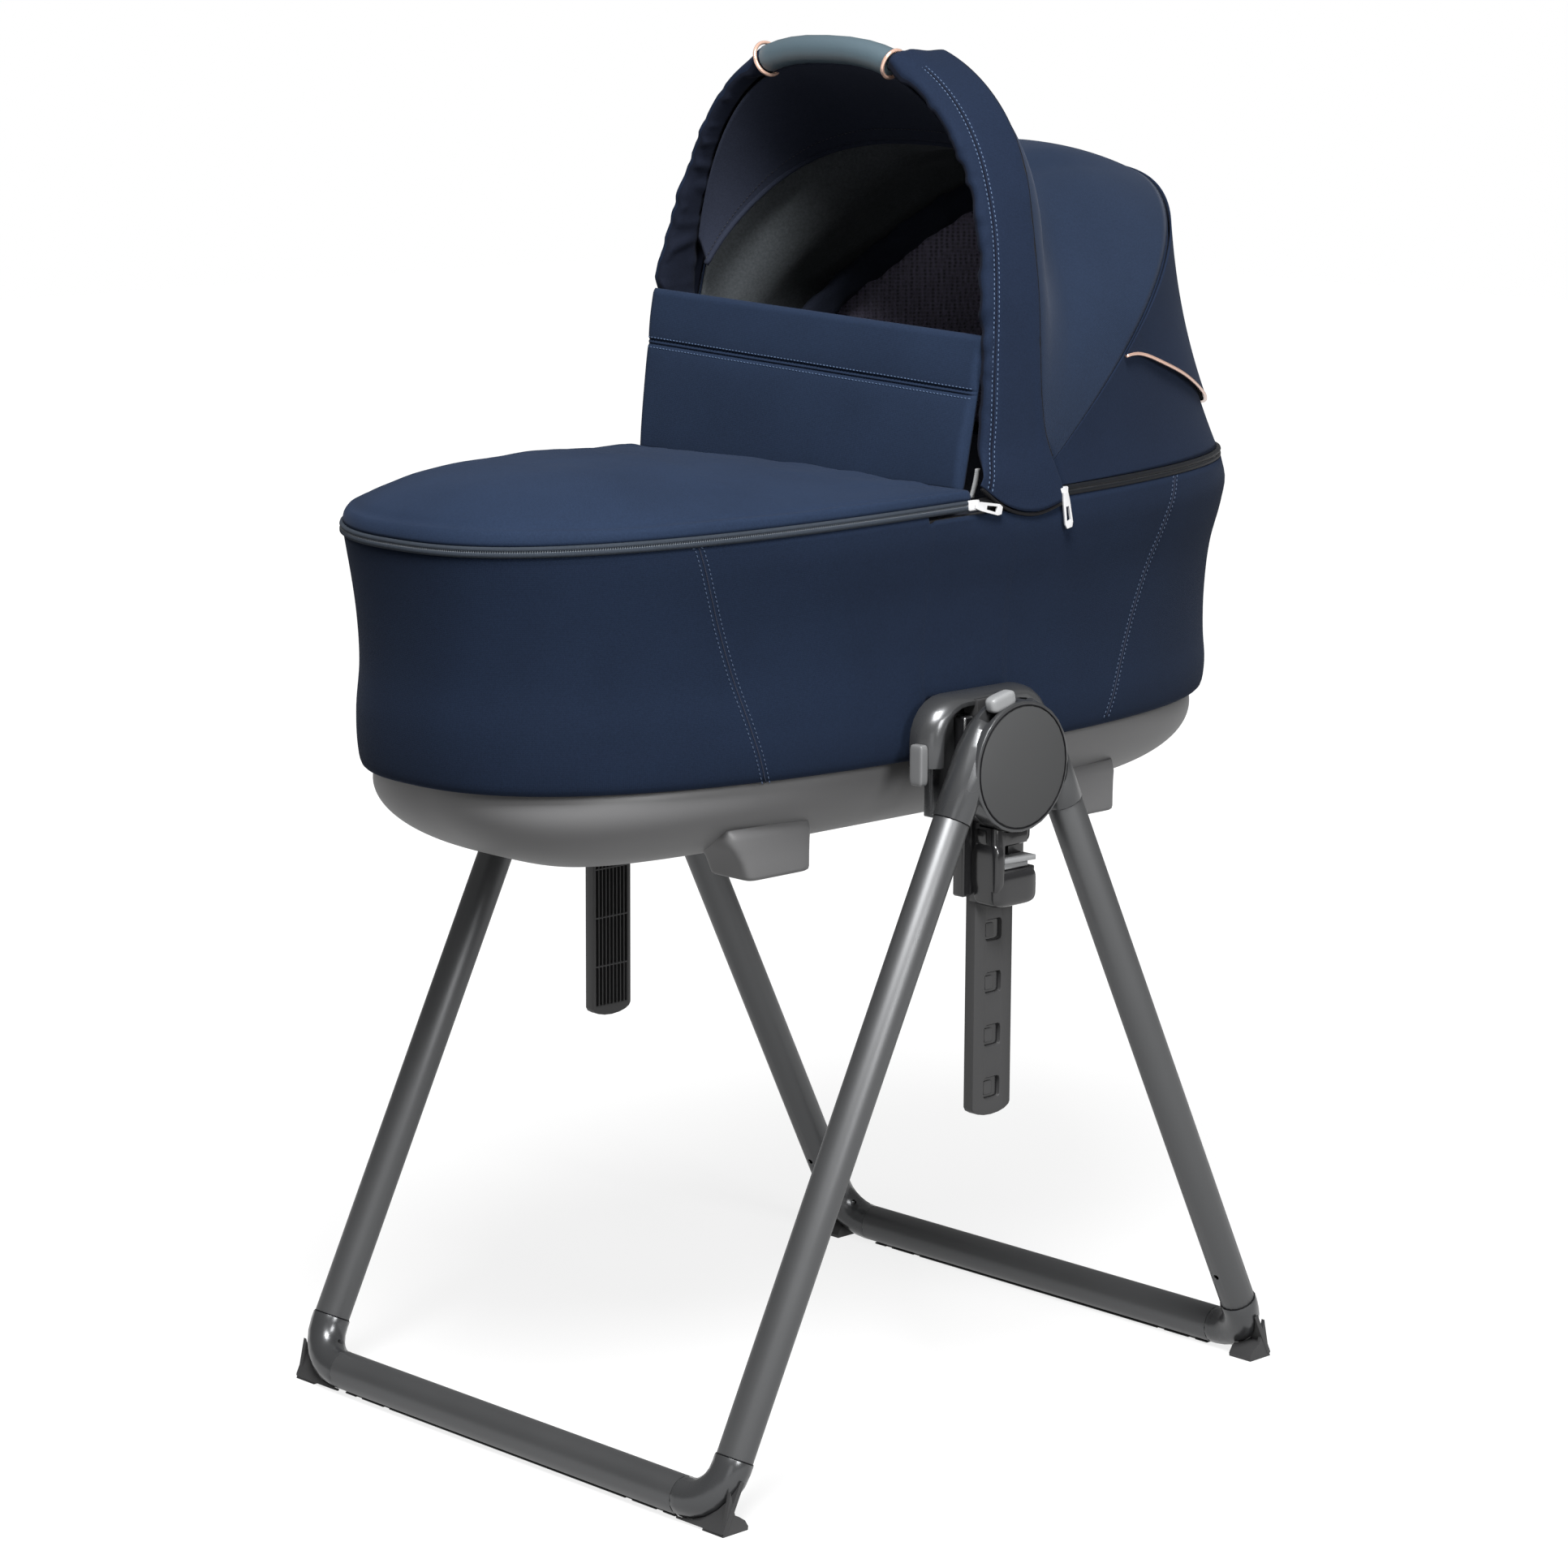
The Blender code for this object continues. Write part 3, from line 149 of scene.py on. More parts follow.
def through(x, xs, ys):
    """Smooth curve through the given points, by cubic pieces."""
    xs, ys = np.asarray(xs, float), np.asarray(ys, float)
    slope = np.gradient(ys, xs)
    k = np.clip(np.searchsorted(xs, x) - 1, 0, len(xs) - 2)
    h = xs[k + 1] - xs[k]
    u = np.clip((x - xs[k]) / h, 0, 1)
    a, b = (2 * u**3 - 3 * u**2 + 1), (u**3 - 2 * u**2 + u)
    c, d = (-2 * u**3 + 3 * u**2), (u**3 - u**2)
    return a * ys[k] + b * h * slope[k] + c * ys[k + 1] + d * h * slope[k + 1]


def smoothstep(x, low, high):
    u = np.clip((x - low) / (high - low), 0, 1)
    return u * u * (3 - 2 * u)


print("a quarter of the way along a smooth step:", float(smoothstep(0.25, 0, 1)))

# %% [markdown]
# Cloth is easiest to shape as a grid of points: rows run one way, columns the other. One helper
# turns a grid into a closed mesh with a UV map in metres, so that the weave keeps its size on
# every piece. A sheet of cloth is an outer and an inner grid, closed at its edges.

# %% Meshes from grids


def link(obj):
    bpy.context.scene.collection.objects.link(obj)
    return obj


def made(*objects):
    for obj in objects:
        print(obj.name, "has", len(obj.data.polygons), "faces")


def link_mesh(name, bm, material):
    bmesh.ops.recalc_face_normals(bm, faces=bm.faces)
    for face in bm.faces:
        face.smooth = True
    mesh = bpy.data.meshes.new(name)
    bm.to_mesh(mesh)
    bm.free()
    mesh.materials.append(material)
    return link(bpy.data.objects.new(name, mesh))


def grid_mesh(name, grid, material, wrap_rows=False, wrap_cols=False, cap_cols=False, cap_rows=False):
    """Closed mesh through rows of points. The UV map follows the rows and columns in metres."""
    grid = np.asarray(grid, float)
    rows, cols = grid.shape[:2]
    bm = bmesh.new()
    verts = [[bm.verts.new((p[0] + CENTRE_X, p[1], p[2])) for p in row] for row in grid]
    uv = bm.loops.layers.uv.new("cloth")
    ring = np.vstack([grid, grid[:1]])
    loop = np.concatenate([grid, grid[:, :1]], 1)
    v_at = running_total(np.linalg.norm(np.diff(ring, axis=0), axis=2).mean(1))
    u_at = running_total(np.linalg.norm(np.diff(loop, axis=1), axis=2).mean(0))
    for i in range(rows if wrap_rows else rows - 1):
        for j in range(cols if wrap_cols else cols - 1):
            corners = ((i, j), (i, j + 1), (i + 1, j + 1), (i + 1, j))
            face = bm.faces.new([verts[a % rows][b % cols] for a, b in corners])
            for one, (a, b) in zip(face.loops, corners):
                one[uv].uv = (u_at[b], v_at[a])
    if cap_cols:
        for j in (0, cols - 1):
            for i in range(rows // 2 - 1):
                pair = (verts[i][j], verts[i + 1][j], verts[rows - 2 - i][j], verts[rows - 1 - i][j])
                bm.faces.new(pair)
    if cap_rows:
        bm.faces.new(verts[0])
        bm.faces.new(verts[-1])
    return link_mesh(name, bm, material)


def sheet_mesh(name, outer, inner, material):
    """Cloth of some thickness between an outer and an inner grid."""
    rows = np.concatenate([outer, inner[::-1]])
    return grid_mesh(name, rows, material, wrap_rows=True, cap_cols=True)


# %% [markdown]
# No cloth lies quite even, and its pipings, bindings and seams are round cords along a line.
# Noise read at each point of a grid gives the first. For the second, rings are carried along
# the line without twist and become a mesh by the same grid helper.

# %% Unevenness and cords
OFF_AXIS = (0.3, 0.2, 0.93)


def unevenness(grid, scale, seed=0.0, stretch=(1, 1, 1)):
    """Smooth noise between -1 and 1 at every point of a grid."""
    shift = Vector((seed, seed * 0.7, -seed))
    placed = np.asarray(grid) * np.array(stretch) * scale
    return np.array([[noise.noise(Vector(p) + shift) for p in row] for row in placed])


def evenly(points, step):
    """The same line, cut into steps of about one length."""
    points = np.asarray(points, float)
    length = running_total(np.linalg.norm(np.diff(points, axis=0), axis=1))
    at = np.linspace(0, length[-1], max(2, int(round(length[-1] / step)) + 1))
    return np.stack([np.interp(at, length, points[:, k]) for k in range(3)], -1)


def circle(centre, radius, across, other, count):
    """A circle in the plane of two directions that are square to each other."""
    turn = full_turn(count)[:, None]
    return centre + radius * (np.cos(turn) * across + np.sin(turn) * other)


def cord_grid(points, radius, sides=8, closed=False):
    """Rings round a line, carried along it without twist. No line here starts along OFF_AXIS."""
    points = np.asarray(points, float)
    tangents = np.roll(points, -1, 0) - np.roll(points, 1, 0)
    if not closed:
        tangents[0], tangents[-1] = points[1] - points[0], points[-1] - points[-2]
    tangents /= np.linalg.norm(tangents, axis=1, keepdims=True)
    across = np.cross(tangents[0], OFF_AXIS)
    rings = []
    for point, tangent in zip(points, tangents):
        across = across - tangent * (across @ tangent)
        across = across / np.linalg.norm(across)
        rings.append(circle(point, radius, across, np.cross(tangent, across), sides))
    return np.array(rings)


def cord(name, points, radius, material, sides=8, closed=False):
    rings = cord_grid(points, radius, sides, closed)
    return grid_mesh(name, rings, material, wrap_cols=True, wrap_rows=closed, cap_rows=not closed)


def joined(name, pieces):
    """One object from several, for repeated small pieces of one body."""
    bm = bmesh.new()
    for piece in pieces:
        bm.from_mesh(piece.data)
    material = pieces[0].data.materials[0]
    for piece in pieces:
        bpy.data.objects.remove(piece)
    return link_mesh(name, bm, material)


# %% [markdown]
# Every finish is one Principled BSDF with a few nodes before it. Four small helpers make the
# material, add a node with its settings, do one step of arithmetic and mix two colours, so that
# a recipe below reads as a list of what it adds.

# %% Shader helpers


def new_material(name):
    material = bpy.data.materials.new(name)
    material.use_nodes = True
    nodes = material.node_tree.nodes
    return material, nodes, material.node_tree.links, nodes["Principled BSDF"]


def add(nodes, kind, **values):
    node = nodes.new(kind)
    for key, value in values.items():
        if key in node.inputs:
            node.inputs[key].default_value = value
        else:
            setattr(node, key, value)
    return node


def math_node(nodes, links, operation, first, second):
    node = nodes.new("ShaderNodeMath")
    node.operation = operation
    for socket, value in zip(node.inputs, (first, second)):
        if isinstance(value, (int, float)):
            socket.default_value = value
        else:
            links.new(value, socket)
    return node.outputs[0]


def mix_colour(nodes, links, share, low, high):
    node = nodes.new("ShaderNodeMix")
    node.data_type = "RGBA"
    links.new(share, node.inputs[0])
    node.inputs[6].default_value = (*low, 1)
    node.inputs[7].default_value = (*high, 1)
    return node.outputs[2]


# %% [markdown]
# Cloth on this bassinet is a brushed melange: a dark navy whose fibres vary a little in tone, a
# fine weave that only shows close up, and a faint bloom at grazing angles. The shader mixes
# those three scales: the weave follows the UV map and the rest reads Object coordinates.

# %% Cloth recipe
THREAD_WANDER, SPECK_CONTRAST, NET_MOTTLE = 1.5, 1.3, 0.85


def cloth(name, colour, pitch=0.0011, depth=0.00010, sheen=0.10, rough=0.85, mottle=0.22,
          folds=0.0006, speck=620.0, cells=0.0):
    """Woven cloth: crossed waves for the threads, speckled fibres and slow unevenness.

    With cells, the size of a hole in metres, the cloth is a net.
    """
    material, nodes, links, shader = new_material(name)
    place = nodes.new("ShaderNodeTexCoord").outputs["Object"]
    uv = nodes.new("ShaderNodeUVMap").outputs["UV"]
    threads = []
    for direction in ("X", "Y"):
        scale = math.pi / (10 * pitch)
        wave = add(nodes, "ShaderNodeTexWave", Scale=scale, Distortion=THREAD_WANDER)
        wave.bands_direction = direction
        wave.inputs["Detail Scale"].default_value = 3.0
        links.new(uv, wave.inputs["Vector"])
        threads.append(wave.outputs["Fac"])
    weave = math_node(nodes, links, "MULTIPLY", *threads)
    slow = add(nodes, "ShaderNodeTexNoise", Scale=9.0, Detail=3.0, Roughness=0.55)
    fine = add(nodes, "ShaderNodeTexNoise", Scale=speck, Detail=2.0, Roughness=0.7)
    for one in (slow, fine):
        links.new(place, one.inputs["Vector"])
    sharper = math_node(nodes, links, "MULTIPLY", fine.outputs["Fac"], SPECK_CONTRAST)
    patchy = math_node(nodes, links, "ADD", slow.outputs["Fac"], sharper)
    share = math_node(nodes, links, "SUBTRACT", patchy, SPECK_CONTRAST / 2)
    if cells:
        holes = add(nodes, "ShaderNodeTexVoronoi", Scale=1 / cells, Randomness=0.25)
        links.new(place, holes.inputs["Vector"])
        share = math_node(nodes, links, "SMOOTH_MIN", share, holes.outputs["Distance"])
        mottle = NET_MOTTLE
    low = tuple(c * (1 - mottle) for c in colour)
    high = tuple(c * (1 + mottle) for c in colour)
    links.new(mix_colour(nodes, links, share, low, high), shader.inputs["Base Color"])
    bump = add(nodes, "ShaderNodeBump", Strength=0.6, Distance=depth)
    links.new(weave, bump.inputs["Height"])
    soft = add(nodes, "ShaderNodeBump", Strength=0.7, Distance=folds)
    links.new(slow.outputs["Fac"], soft.inputs["Height"])
    links.new(soft.outputs["Normal"], bump.inputs["Normal"])
    links.new(bump.outputs["Normal"], shader.inputs["Normal"])
    shader.inputs["Roughness"].default_value = rough
    shader.inputs["Sheen Weight"].default_value = sheen
    shader.inputs["Sheen Roughness"].default_value = 0.5
    shader.inputs["Sheen Tint"].default_value = (*[min(1, c * 6 + 0.3) for c in colour], 1)
    shader.inputs["Specular IOR Level"].default_value = 0.08
    return material


# %% [markdown]
# One navy cloth comes in several tones, and the steps between them are painted light and shade: the
# apron is the lightest, the hood's top is painted a little darker, and the sleeves, the hood's back
# and the fabric side darker again. Each tone gets its own cloth, and so do the felt, the net and the
# linings inside, the zip's tapes and the black binding.

# %% Cloths of this bassinet
NAVY = cloth("navy cloth", (0.0128, 0.0222, 0.0460), sheen=0.06)
# The three cloths below are darker copies of the navy, painted shade.
SIDE_NAVY_SHADE = cloth("navy side cloth, painted shade", (0.0078, 0.0140, 0.0305), sheen=0.05)
HOOD_NAVY_SHADE = cloth("navy hood cloth, painted shade", (0.0112, 0.0190, 0.0385), sheen=0.14)
SLEEVE_NAVY_SHADE = cloth("navy sleeve cloth, painted shade", (0.0090, 0.0155, 0.0335), sheen=0.05)
# The sleeves' inner face is a greyer cloth, painted darker as shade.
SLEEVE_INNER_GREY_SHADE = cloth("sleeve inner face, greyer and painted shade", (0.0075, 0.0098, 0.0185), sheen=0.04)
NAVY_DARK = cloth("navy lining", (0.0200, 0.0240, 0.0390), sheen=0.06)
FELT = cloth("grey felt lining", (0.0650, 0.0720, 0.0780), sheen=0.05, mottle=0.35, speck=420.0)
MESH = cloth("dark mesh lining", (0.3000, 0.2750, 0.3850), pitch=0.0030, sheen=0.03, cells=0.0034)
LINING = cloth("grey inner lining", (0.018, 0.020, 0.027), pitch=0.0016, sheen=0.1)
WHITE_CLOTH = cloth("mattress cloth", (0.62, 0.62, 0.60), sheen=0.1, mottle=0.05)
STRAP = cloth("pale strap", (0.22, 0.225, 0.23), pitch=0.0016, depth=0.0002, sheen=0.1, mottle=0.1)
BINDING = cloth("black binding", (0.0045, 0.0045, 0.0055), sheen=0.1, rough=0.5)
TAPE = cloth("zip tape", (0.0300, 0.0370, 0.0480), pitch=0.0009, depth=0.0002, sheen=0.05,
             folds=0.0002)
HEAD_TAPE = cloth("black zip tape", (0.0070, 0.0080, 0.0100), pitch=0.0009, depth=0.0001,
                  sheen=0.08, rough=0.5)
print(len(bpy.data.materials), "materials so far")

# %% [markdown]
# Tubes, castings and mouldings aren't quite even either. Their tone and gloss drift slowly over
# the surface, and a very fine grain breaks up the highlight. Threads, teeth, rings and the
# grip's leather are made by the same recipe.

# %% Hard finish recipe
GLOSS_DRIFT = 0.12


def hard(name, colour, rough, metal=0.0, grain=0.25, bump_scale=900.0, bump_depth=0.00003,
         coat=0.0, specular=0.5):
    """Moulded or painted surface: tone broken by slow noise, with a fine grain in the gloss."""
    material, nodes, links, shader = new_material(name)
    place = nodes.new("ShaderNodeTexCoord").outputs["Object"]
    slow = add(nodes, "ShaderNodeTexNoise", Scale=14.0, Detail=4.0)
    fine = add(nodes, "ShaderNodeTexNoise", Scale=bump_scale, Detail=2.0)
    for one in (slow, fine):
        links.new(place, one.inputs["Vector"])
    low = tuple(c * (1 - grain * 0.5) for c in colour)
    high = tuple(c * (1 + grain * 0.5) for c in colour)
    links.new(mix_colour(nodes, links, slow.outputs["Fac"], low, high), shader.inputs["Base Color"])
    bump = add(nodes, "ShaderNodeBump", Strength=0.5, Distance=bump_depth)
    links.new(fine.outputs["Fac"], bump.inputs["Height"])
    links.new(bump.outputs["Normal"], shader.inputs["Normal"])
    spread = math_node(nodes, links, "MULTIPLY", slow.outputs["Fac"], GLOSS_DRIFT)
    gloss = math_node(nodes, links, "ADD", spread, rough - GLOSS_DRIFT / 2)
    links.new(gloss, shader.inputs["Roughness"])
    shader.inputs["Metallic"].default_value = metal
    shader.inputs["Coat Weight"].default_value = coat
    shader.inputs["Coat Roughness"].default_value = 0.15
    shader.inputs["Specular IOR Level"].default_value = specular
    return material


# %% [markdown]
# The colours are the photograph's, set by how bright each piece comes out in the render. FINISH
# names the finish of every kind of CAD piece by its slot.

# %% Hard finishes of this bassinet
THREAD = hard("stitch thread", (0.056, 0.092, 0.165), 0.60, grain=0.3)
# The side thread is the stitch thread painted darker, as shade to go with the side cloth.
SIDE_THREAD_SHADE = hard("side thread, painted shade", (0.026, 0.044, 0.084), 0.60, grain=0.3)
DARK_THREAD = hard("dark thread", (0.006, 0.008, 0.014), 0.65, grain=0.3)
TEETH = hard("zip teeth", (0.120, 0.135, 0.155), 0.35, grain=0.2)
DARK_TEETH = hard("black zip teeth", (0.010, 0.011, 0.014), 0.35, grain=0.2)
TUBE = hard("satin tube", (0.108, 0.110, 0.113), 0.43, metal=0.70, grain=0.1, bump_depth=0.000004)
CASTING = hard("casting", (0.075, 0.077, 0.080), 0.28, metal=0.6, grain=0.1, coat=0.2)
CAP = hard("matte cap", (0.040, 0.041, 0.042), 0.60, grain=0.15, bump_depth=0.00008)
BLACK = hard("gloss black", (0.010, 0.010, 0.011), 0.20, grain=0.1, coat=0.3)
PLASTIC = hard("dark plastic", (0.034, 0.034, 0.035), 0.48, grain=0.2, bump_depth=0.00006)
GREY = hard("light grey plastic", (0.235, 0.24, 0.245), 0.38, grain=0.08)
TAB_GREY = hard("grey tab", (0.150, 0.152, 0.155), 0.34, grain=0.08)
HULL = hard("grey hull", (0.120, 0.120, 0.122), 0.47, grain=0.06, bump_depth=0.00008)
METAL = hard("bright metal", (0.75, 0.75, 0.76), 0.24, metal=0.35, grain=0.1)
ROSE = hard("rose metal", (0.86, 0.56, 0.44), 0.20, metal=0.6, grain=0.08)
LEATHER = hard("grip leather", (0.068, 0.100, 0.120), 0.46, grain=0.15, bump_scale=420.0,
               bump_depth=0.0002)
FINISH = {
    "tube_satin": TUBE, "casting_grey": CASTING, "cap_matte": CAP, "black_gloss": BLACK,
    "dark_plastic": PLASTIC, "light_grey": GREY, "hull_grey": HULL, "navy_cloth": NAVY,
    "lining_cloth": LINING, "zip_tape": TAPE, "bright_metal": METAL, "rose_metal": ROSE,
    "grip_leather": LEATHER, "mattress_cloth": WHITE_CLOTH,
}
print(len(bpy.data.materials), "materials")

# %% [markdown]
# The CAD pieces arrive faceted. Gently bent faces should shade as one surface while real corners
# stay crisp. A small Geometry Nodes group does that by the angle between faces. Its inputs have
# names, and a modifier sets them by the socket's identifier, which socket_of looks up.

# %% Smooth shading by angle
SMOOTH_BELOW = math.radians(38)


def geometry_group(name, inputs):
    """An empty Geometry Nodes group with geometry in and out, and the given named inputs."""
    tree = bpy.data.node_groups.new(name, "GeometryNodeTree")
    for label, kind in (("Geometry", "Geometry"), *inputs):
        tree.interface.new_socket(label, in_out="INPUT", socket_type="NodeSocket" + kind)
    tree.interface.new_socket("Geometry", in_out="OUTPUT", socket_type="NodeSocketGeometry")
    start, end = tree.nodes.new("NodeGroupInput"), tree.nodes.new("NodeGroupOutput")
    return tree, tree.nodes, tree.links, start, end


def smooth_by_angle():
    """Shades faces smooth except across corners sharper than Angle."""
    tree, nodes, links, start, end = geometry_group("smooth by angle", [("Angle", "Float")])
    edge = nodes.new("GeometryNodeInputMeshEdgeAngle")
    low = add(nodes, "FunctionNodeCompare", operation="LESS_THAN")
    links.new(edge.outputs["Unsigned Angle"], low.inputs[0])
    links.new(start.outputs["Angle"], low.inputs[1])
    faces = nodes.new("GeometryNodeSetShadeSmooth")
    edges = add(nodes, "GeometryNodeSetShadeSmooth", domain="EDGE")
    links.new(start.outputs["Geometry"], faces.inputs["Geometry"])
    links.new(faces.outputs["Geometry"], edges.inputs["Geometry"])
    links.new(low.outputs["Result"], edges.inputs["Shade Smooth"])
    links.new(edges.outputs["Geometry"], end.inputs[0])
    return tree


def socket_of(tree, name):
    """Identifier of a node group's input, by its name."""
    for item in tree.interface.items_tree:
        if item.in_out == "INPUT" and item.name == name:
            return item.identifier
    raise KeyError(name)


SMOOTHER = smooth_by_angle()
print(SMOOTHER.name, "has", len(SMOOTHER.nodes), "nodes")

# %% [markdown]
# On the real stand every moulded edge has a small radius that catches a thin line of light. A
# bevel modifier gives one to the pieces that BEVELS names, and the group above shades them all.

# %% Carried-over pieces
WELD_WITHIN = 0.00002
BEVELS = {
    "slider_housing": 0.0007, "carrier_head": 0.0008, "support_strip": 0.0006, "height_lever": 0.0005,
    "release_tab": 0.0005, "front_foot": 0.0006, "rear_foot": 0.0006, "front_runner": 0.0006,
    "rear_runner": 0.0006, "front_casting": 0.0007, "rear_casting": 0.0005, "zip_slider": 0.0004,
    "zip_pull": 0.0003, "side_bracket": 0.0006, "front_elbow": 0.0006, "rear_elbow": 0.0006,
    "front_leg": 0.0004, "rear_leg": 0.0004, "hood_hinge": 0.0005,
}
slots = {s["node"]: s["material_slot"] for s in frame["record"]["subparts"]}
for node, obj in frame["nodes"].items():
    obj.data.materials.clear()
    obj.data.materials.append(FINISH[slots[node]])
    weld = obj.modifiers.new("weld", "WELD")
    weld.merge_threshold = WELD_WITHIN
    width = next((w for start, w in BEVELS.items() if node.startswith(start)), 0)
    if width:
        bevel = obj.modifiers.new("edge radius", "BEVEL")
        bevel.width, bevel.segments, bevel.angle_limit = width, 2, SMOOTH_BELOW
        bevel.limit_method = "ANGLE"
    smooth = obj.modifiers.new("smooth", "NODES")
    smooth.node_group = SMOOTHER
    smooth[socket_of(SMOOTHER, "Angle")] = SMOOTH_BELOW
print(len(slots), "pieces carried over")

# %% [markdown]
# Stitches are the same small thing repeated along a line: a slightly fat bead of thread, then a
# gap. A Geometry Nodes group puts a bead on every step of a curve, turned along it and lying on
# the cloth. The lines carry the cloth's outward direction as an attribute, and the beads differ
# a little in length.

# %% Beads along lines
SHORTEST, LONGEST = 0.9, 1.08


def repeat_group():
    """A bead at every Pitch along the lines, of about the given Length, Width and Height."""
    sizes = [(label, "Float") for label in ("Pitch", "Length", "Width", "Height")]
    inputs = [*sizes, ("Seed", "Int"), ("Material", "Material")]
    tree, nodes, links, start, end = geometry_group("repeat along lines", inputs)
    given = start.outputs
    curve = nodes.new("GeometryNodeMeshToCurve")
    steps = add(nodes, "GeometryNodeCurveToPoints", mode="LENGTH")
    out = add(nodes, "GeometryNodeInputNamedAttribute", data_type="FLOAT_VECTOR", Name="out")
    turn = add(nodes, "FunctionNodeAxesToRotation", primary_axis="X", secondary_axis="Z")
    bead = add(nodes, "GeometryNodeMeshUVSphere", Segments=8, Rings=4, Radius=0.5)
    smooth = nodes.new("GeometryNodeSetShadeSmooth")
    size = nodes.new("ShaderNodeCombineXYZ")
    vary = add(nodes, "FunctionNodeRandomValue", data_type="FLOAT")
    vary.inputs[2].default_value, vary.inputs[3].default_value = SHORTEST, LONGEST
    long = add(nodes, "ShaderNodeMath", operation="MULTIPLY")
    place = nodes.new("GeometryNodeInstanceOnPoints")
    real = nodes.new("GeometryNodeRealizeInstances")
    paint = nodes.new("GeometryNodeSetMaterial")
    for source, target in (
        (given["Geometry"], curve.inputs["Mesh"]),
        (curve.outputs["Curve"], steps.inputs["Curve"]),
        (given["Pitch"], steps.inputs["Length"]),
        (steps.outputs["Tangent"], turn.inputs["Primary Axis"]),
        (out.outputs["Attribute"], turn.inputs["Secondary Axis"]),
        (given["Seed"], vary.inputs["Seed"]),
        (given["Length"], long.inputs[0]),
        (vary.outputs[1], long.inputs[1]),
        (long.outputs[0], size.inputs["X"]),
        (given["Width"], size.inputs["Y"]),
        (given["Height"], size.inputs["Z"]),
        (bead.outputs["Mesh"], smooth.inputs["Geometry"]),
        (steps.outputs["Points"], place.inputs["Points"]),
        (smooth.outputs["Geometry"], place.inputs["Instance"]),
        (turn.outputs["Rotation"], place.inputs["Rotation"]),
        (size.outputs["Vector"], place.inputs["Scale"]),
        (place.outputs["Instances"], real.inputs["Geometry"]),
        (real.outputs["Geometry"], paint.inputs["Geometry"]),
        (given["Material"], paint.inputs["Material"]),
        (paint.outputs["Geometry"], end.inputs[0]),
    ):
        links.new(source, target)
    return tree


REPEATER = repeat_group()
print(REPEATER.name, "has", len(REPEATER.nodes), "nodes")

# %% [markdown]
# The group runs once for each row of stitches or zip teeth. Its result is kept as a plain mesh
# and the modifier is removed, so that the piece can ride on a body.

# %% Stitches as plain meshes
STITCH_PITCH, STITCH_SIZE, STITCH_SEED = 0.0038, (0.0027, 0.0011, 0.0008), 3


def repeated(name, lines, material, pitch=STITCH_PITCH, size=STITCH_SIZE):
    """Beads along lines. Each line is points and the outward directions there."""
    verts, edges, outs = [], [], []
    for points, out in lines:
        base = len(verts)
        verts += [(p[0] + CENTRE_X, p[1], p[2]) for p in points]
        outs += [tuple(o) for o in np.broadcast_to(out, np.shape(points))]
        edges += [(base + k, base + k + 1) for k in range(len(points) - 1)]
    mesh = bpy.data.meshes.new(name + " lines")
    mesh.from_pydata(verts, edges, [])
    layer = mesh.attributes.new("out", "FLOAT_VECTOR", "POINT")
    layer.data.foreach_set("vector", np.array(outs, dtype=np.float32).ravel())
    obj = link(bpy.data.objects.new(name, mesh))
    modifier = obj.modifiers.new("repeat", "NODES")
    modifier.node_group = REPEATER
    values = {"Pitch": pitch, "Length": size[0], "Width": size[1], "Height": size[2]}
    values |= {"Seed": STITCH_SEED, "Material": material}
    for key, value in values.items():
        modifier[socket_of(REPEATER, key)] = value
    depsgraph = bpy.context.evaluated_depsgraph_get()
    plain = bpy.data.meshes.new_from_object(obj.evaluated_get(depsgraph), depsgraph=depsgraph)
    obj.modifiers.clear()
    obj.data = plain
    bpy.data.meshes.remove(mesh)
    plain.name = name
    made(obj)
    return obj


# %% [markdown]
# The tub under the cloth is one smooth moulding with a rounded floor. It is drawn as rings that
# shrink toward the floor, up the outside and down the inside of its wall.

# %% Tub
HEM_Z = 0.562
HULL_INSET, HULL_SPREAD, HULL_CURVE, HULL_WALL = 0.0227, 0.1555, 1.88, 0.003
HULL_BOTTOM_Z, HULL_TOP_GAP, HULL_TOP_INSET, HULL_AROUND = 0.4813, 0.0165, 0.0195, 320


def hull_ring(share, wall):
    """Ring of the tub's curved part, share 0 at the cloth's hem to 1 at the floor."""
    a = share * math.pi / 2
    spread = 1 - max(math.cos(a), 0) ** (2 / HULL_CURVE)
    rise = 1 - math.sin(a) ** (2 / HULL_CURVE)
    inset = HULL_INSET + HULL_SPREAD * spread + wall * math.cos(a)
    z = HULL_BOTTOM_Z + (HEM_Z - HULL_BOTTOM_Z) * rise + wall * math.sin(a)
    x, y = rim_xy(full_turn(HULL_AROUND), inset, RIM_EXPONENT + 2 * share)
    return np.stack([x, y, np.full(HULL_AROUND, z)], -1)


def hull_top(inset):
    x, y = rim_xy(full_turn(HULL_AROUND), inset)
    return np.stack([x, y, rim_height(x) - HULL_TOP_GAP], -1)


def hull_grid():
    floor_ring = hull_ring(1.0, 0.0)
    middle = np.array((RIM_X, 0, HULL_BOTTOM_Z))
    rows = [middle + (floor_ring - middle) * s for s in (0.02, 0.35, 0.7, 0.93)]
    rows += [hull_ring(s, 0.0) for s in 1 - np.linspace(0, 1, 46) ** 1.25]
    rows += [hull_top(HULL_TOP_INSET), hull_top(HULL_TOP_INSET + HULL_WALL)]
    rows += [hull_ring(s, HULL_WALL) for s in np.linspace(0, 1, 20)]
    rows += [middle + (0, 0, HULL_WALL) + (floor_ring - middle) * s * 0.98 for s in (0.7, 0.02)]
    return np.array(rows)


pieces = [grid_mesh("tub", hull_grid(), HULL, wrap_cols=True, cap_rows=True)]
made(*pieces)

# %% [markdown]
# Four blocks stand out below the tub, square toward the head end and swept toward the foot end,
# and flow into it with a wide fillet. Each is a stack of rounded rectangles that grow upward.

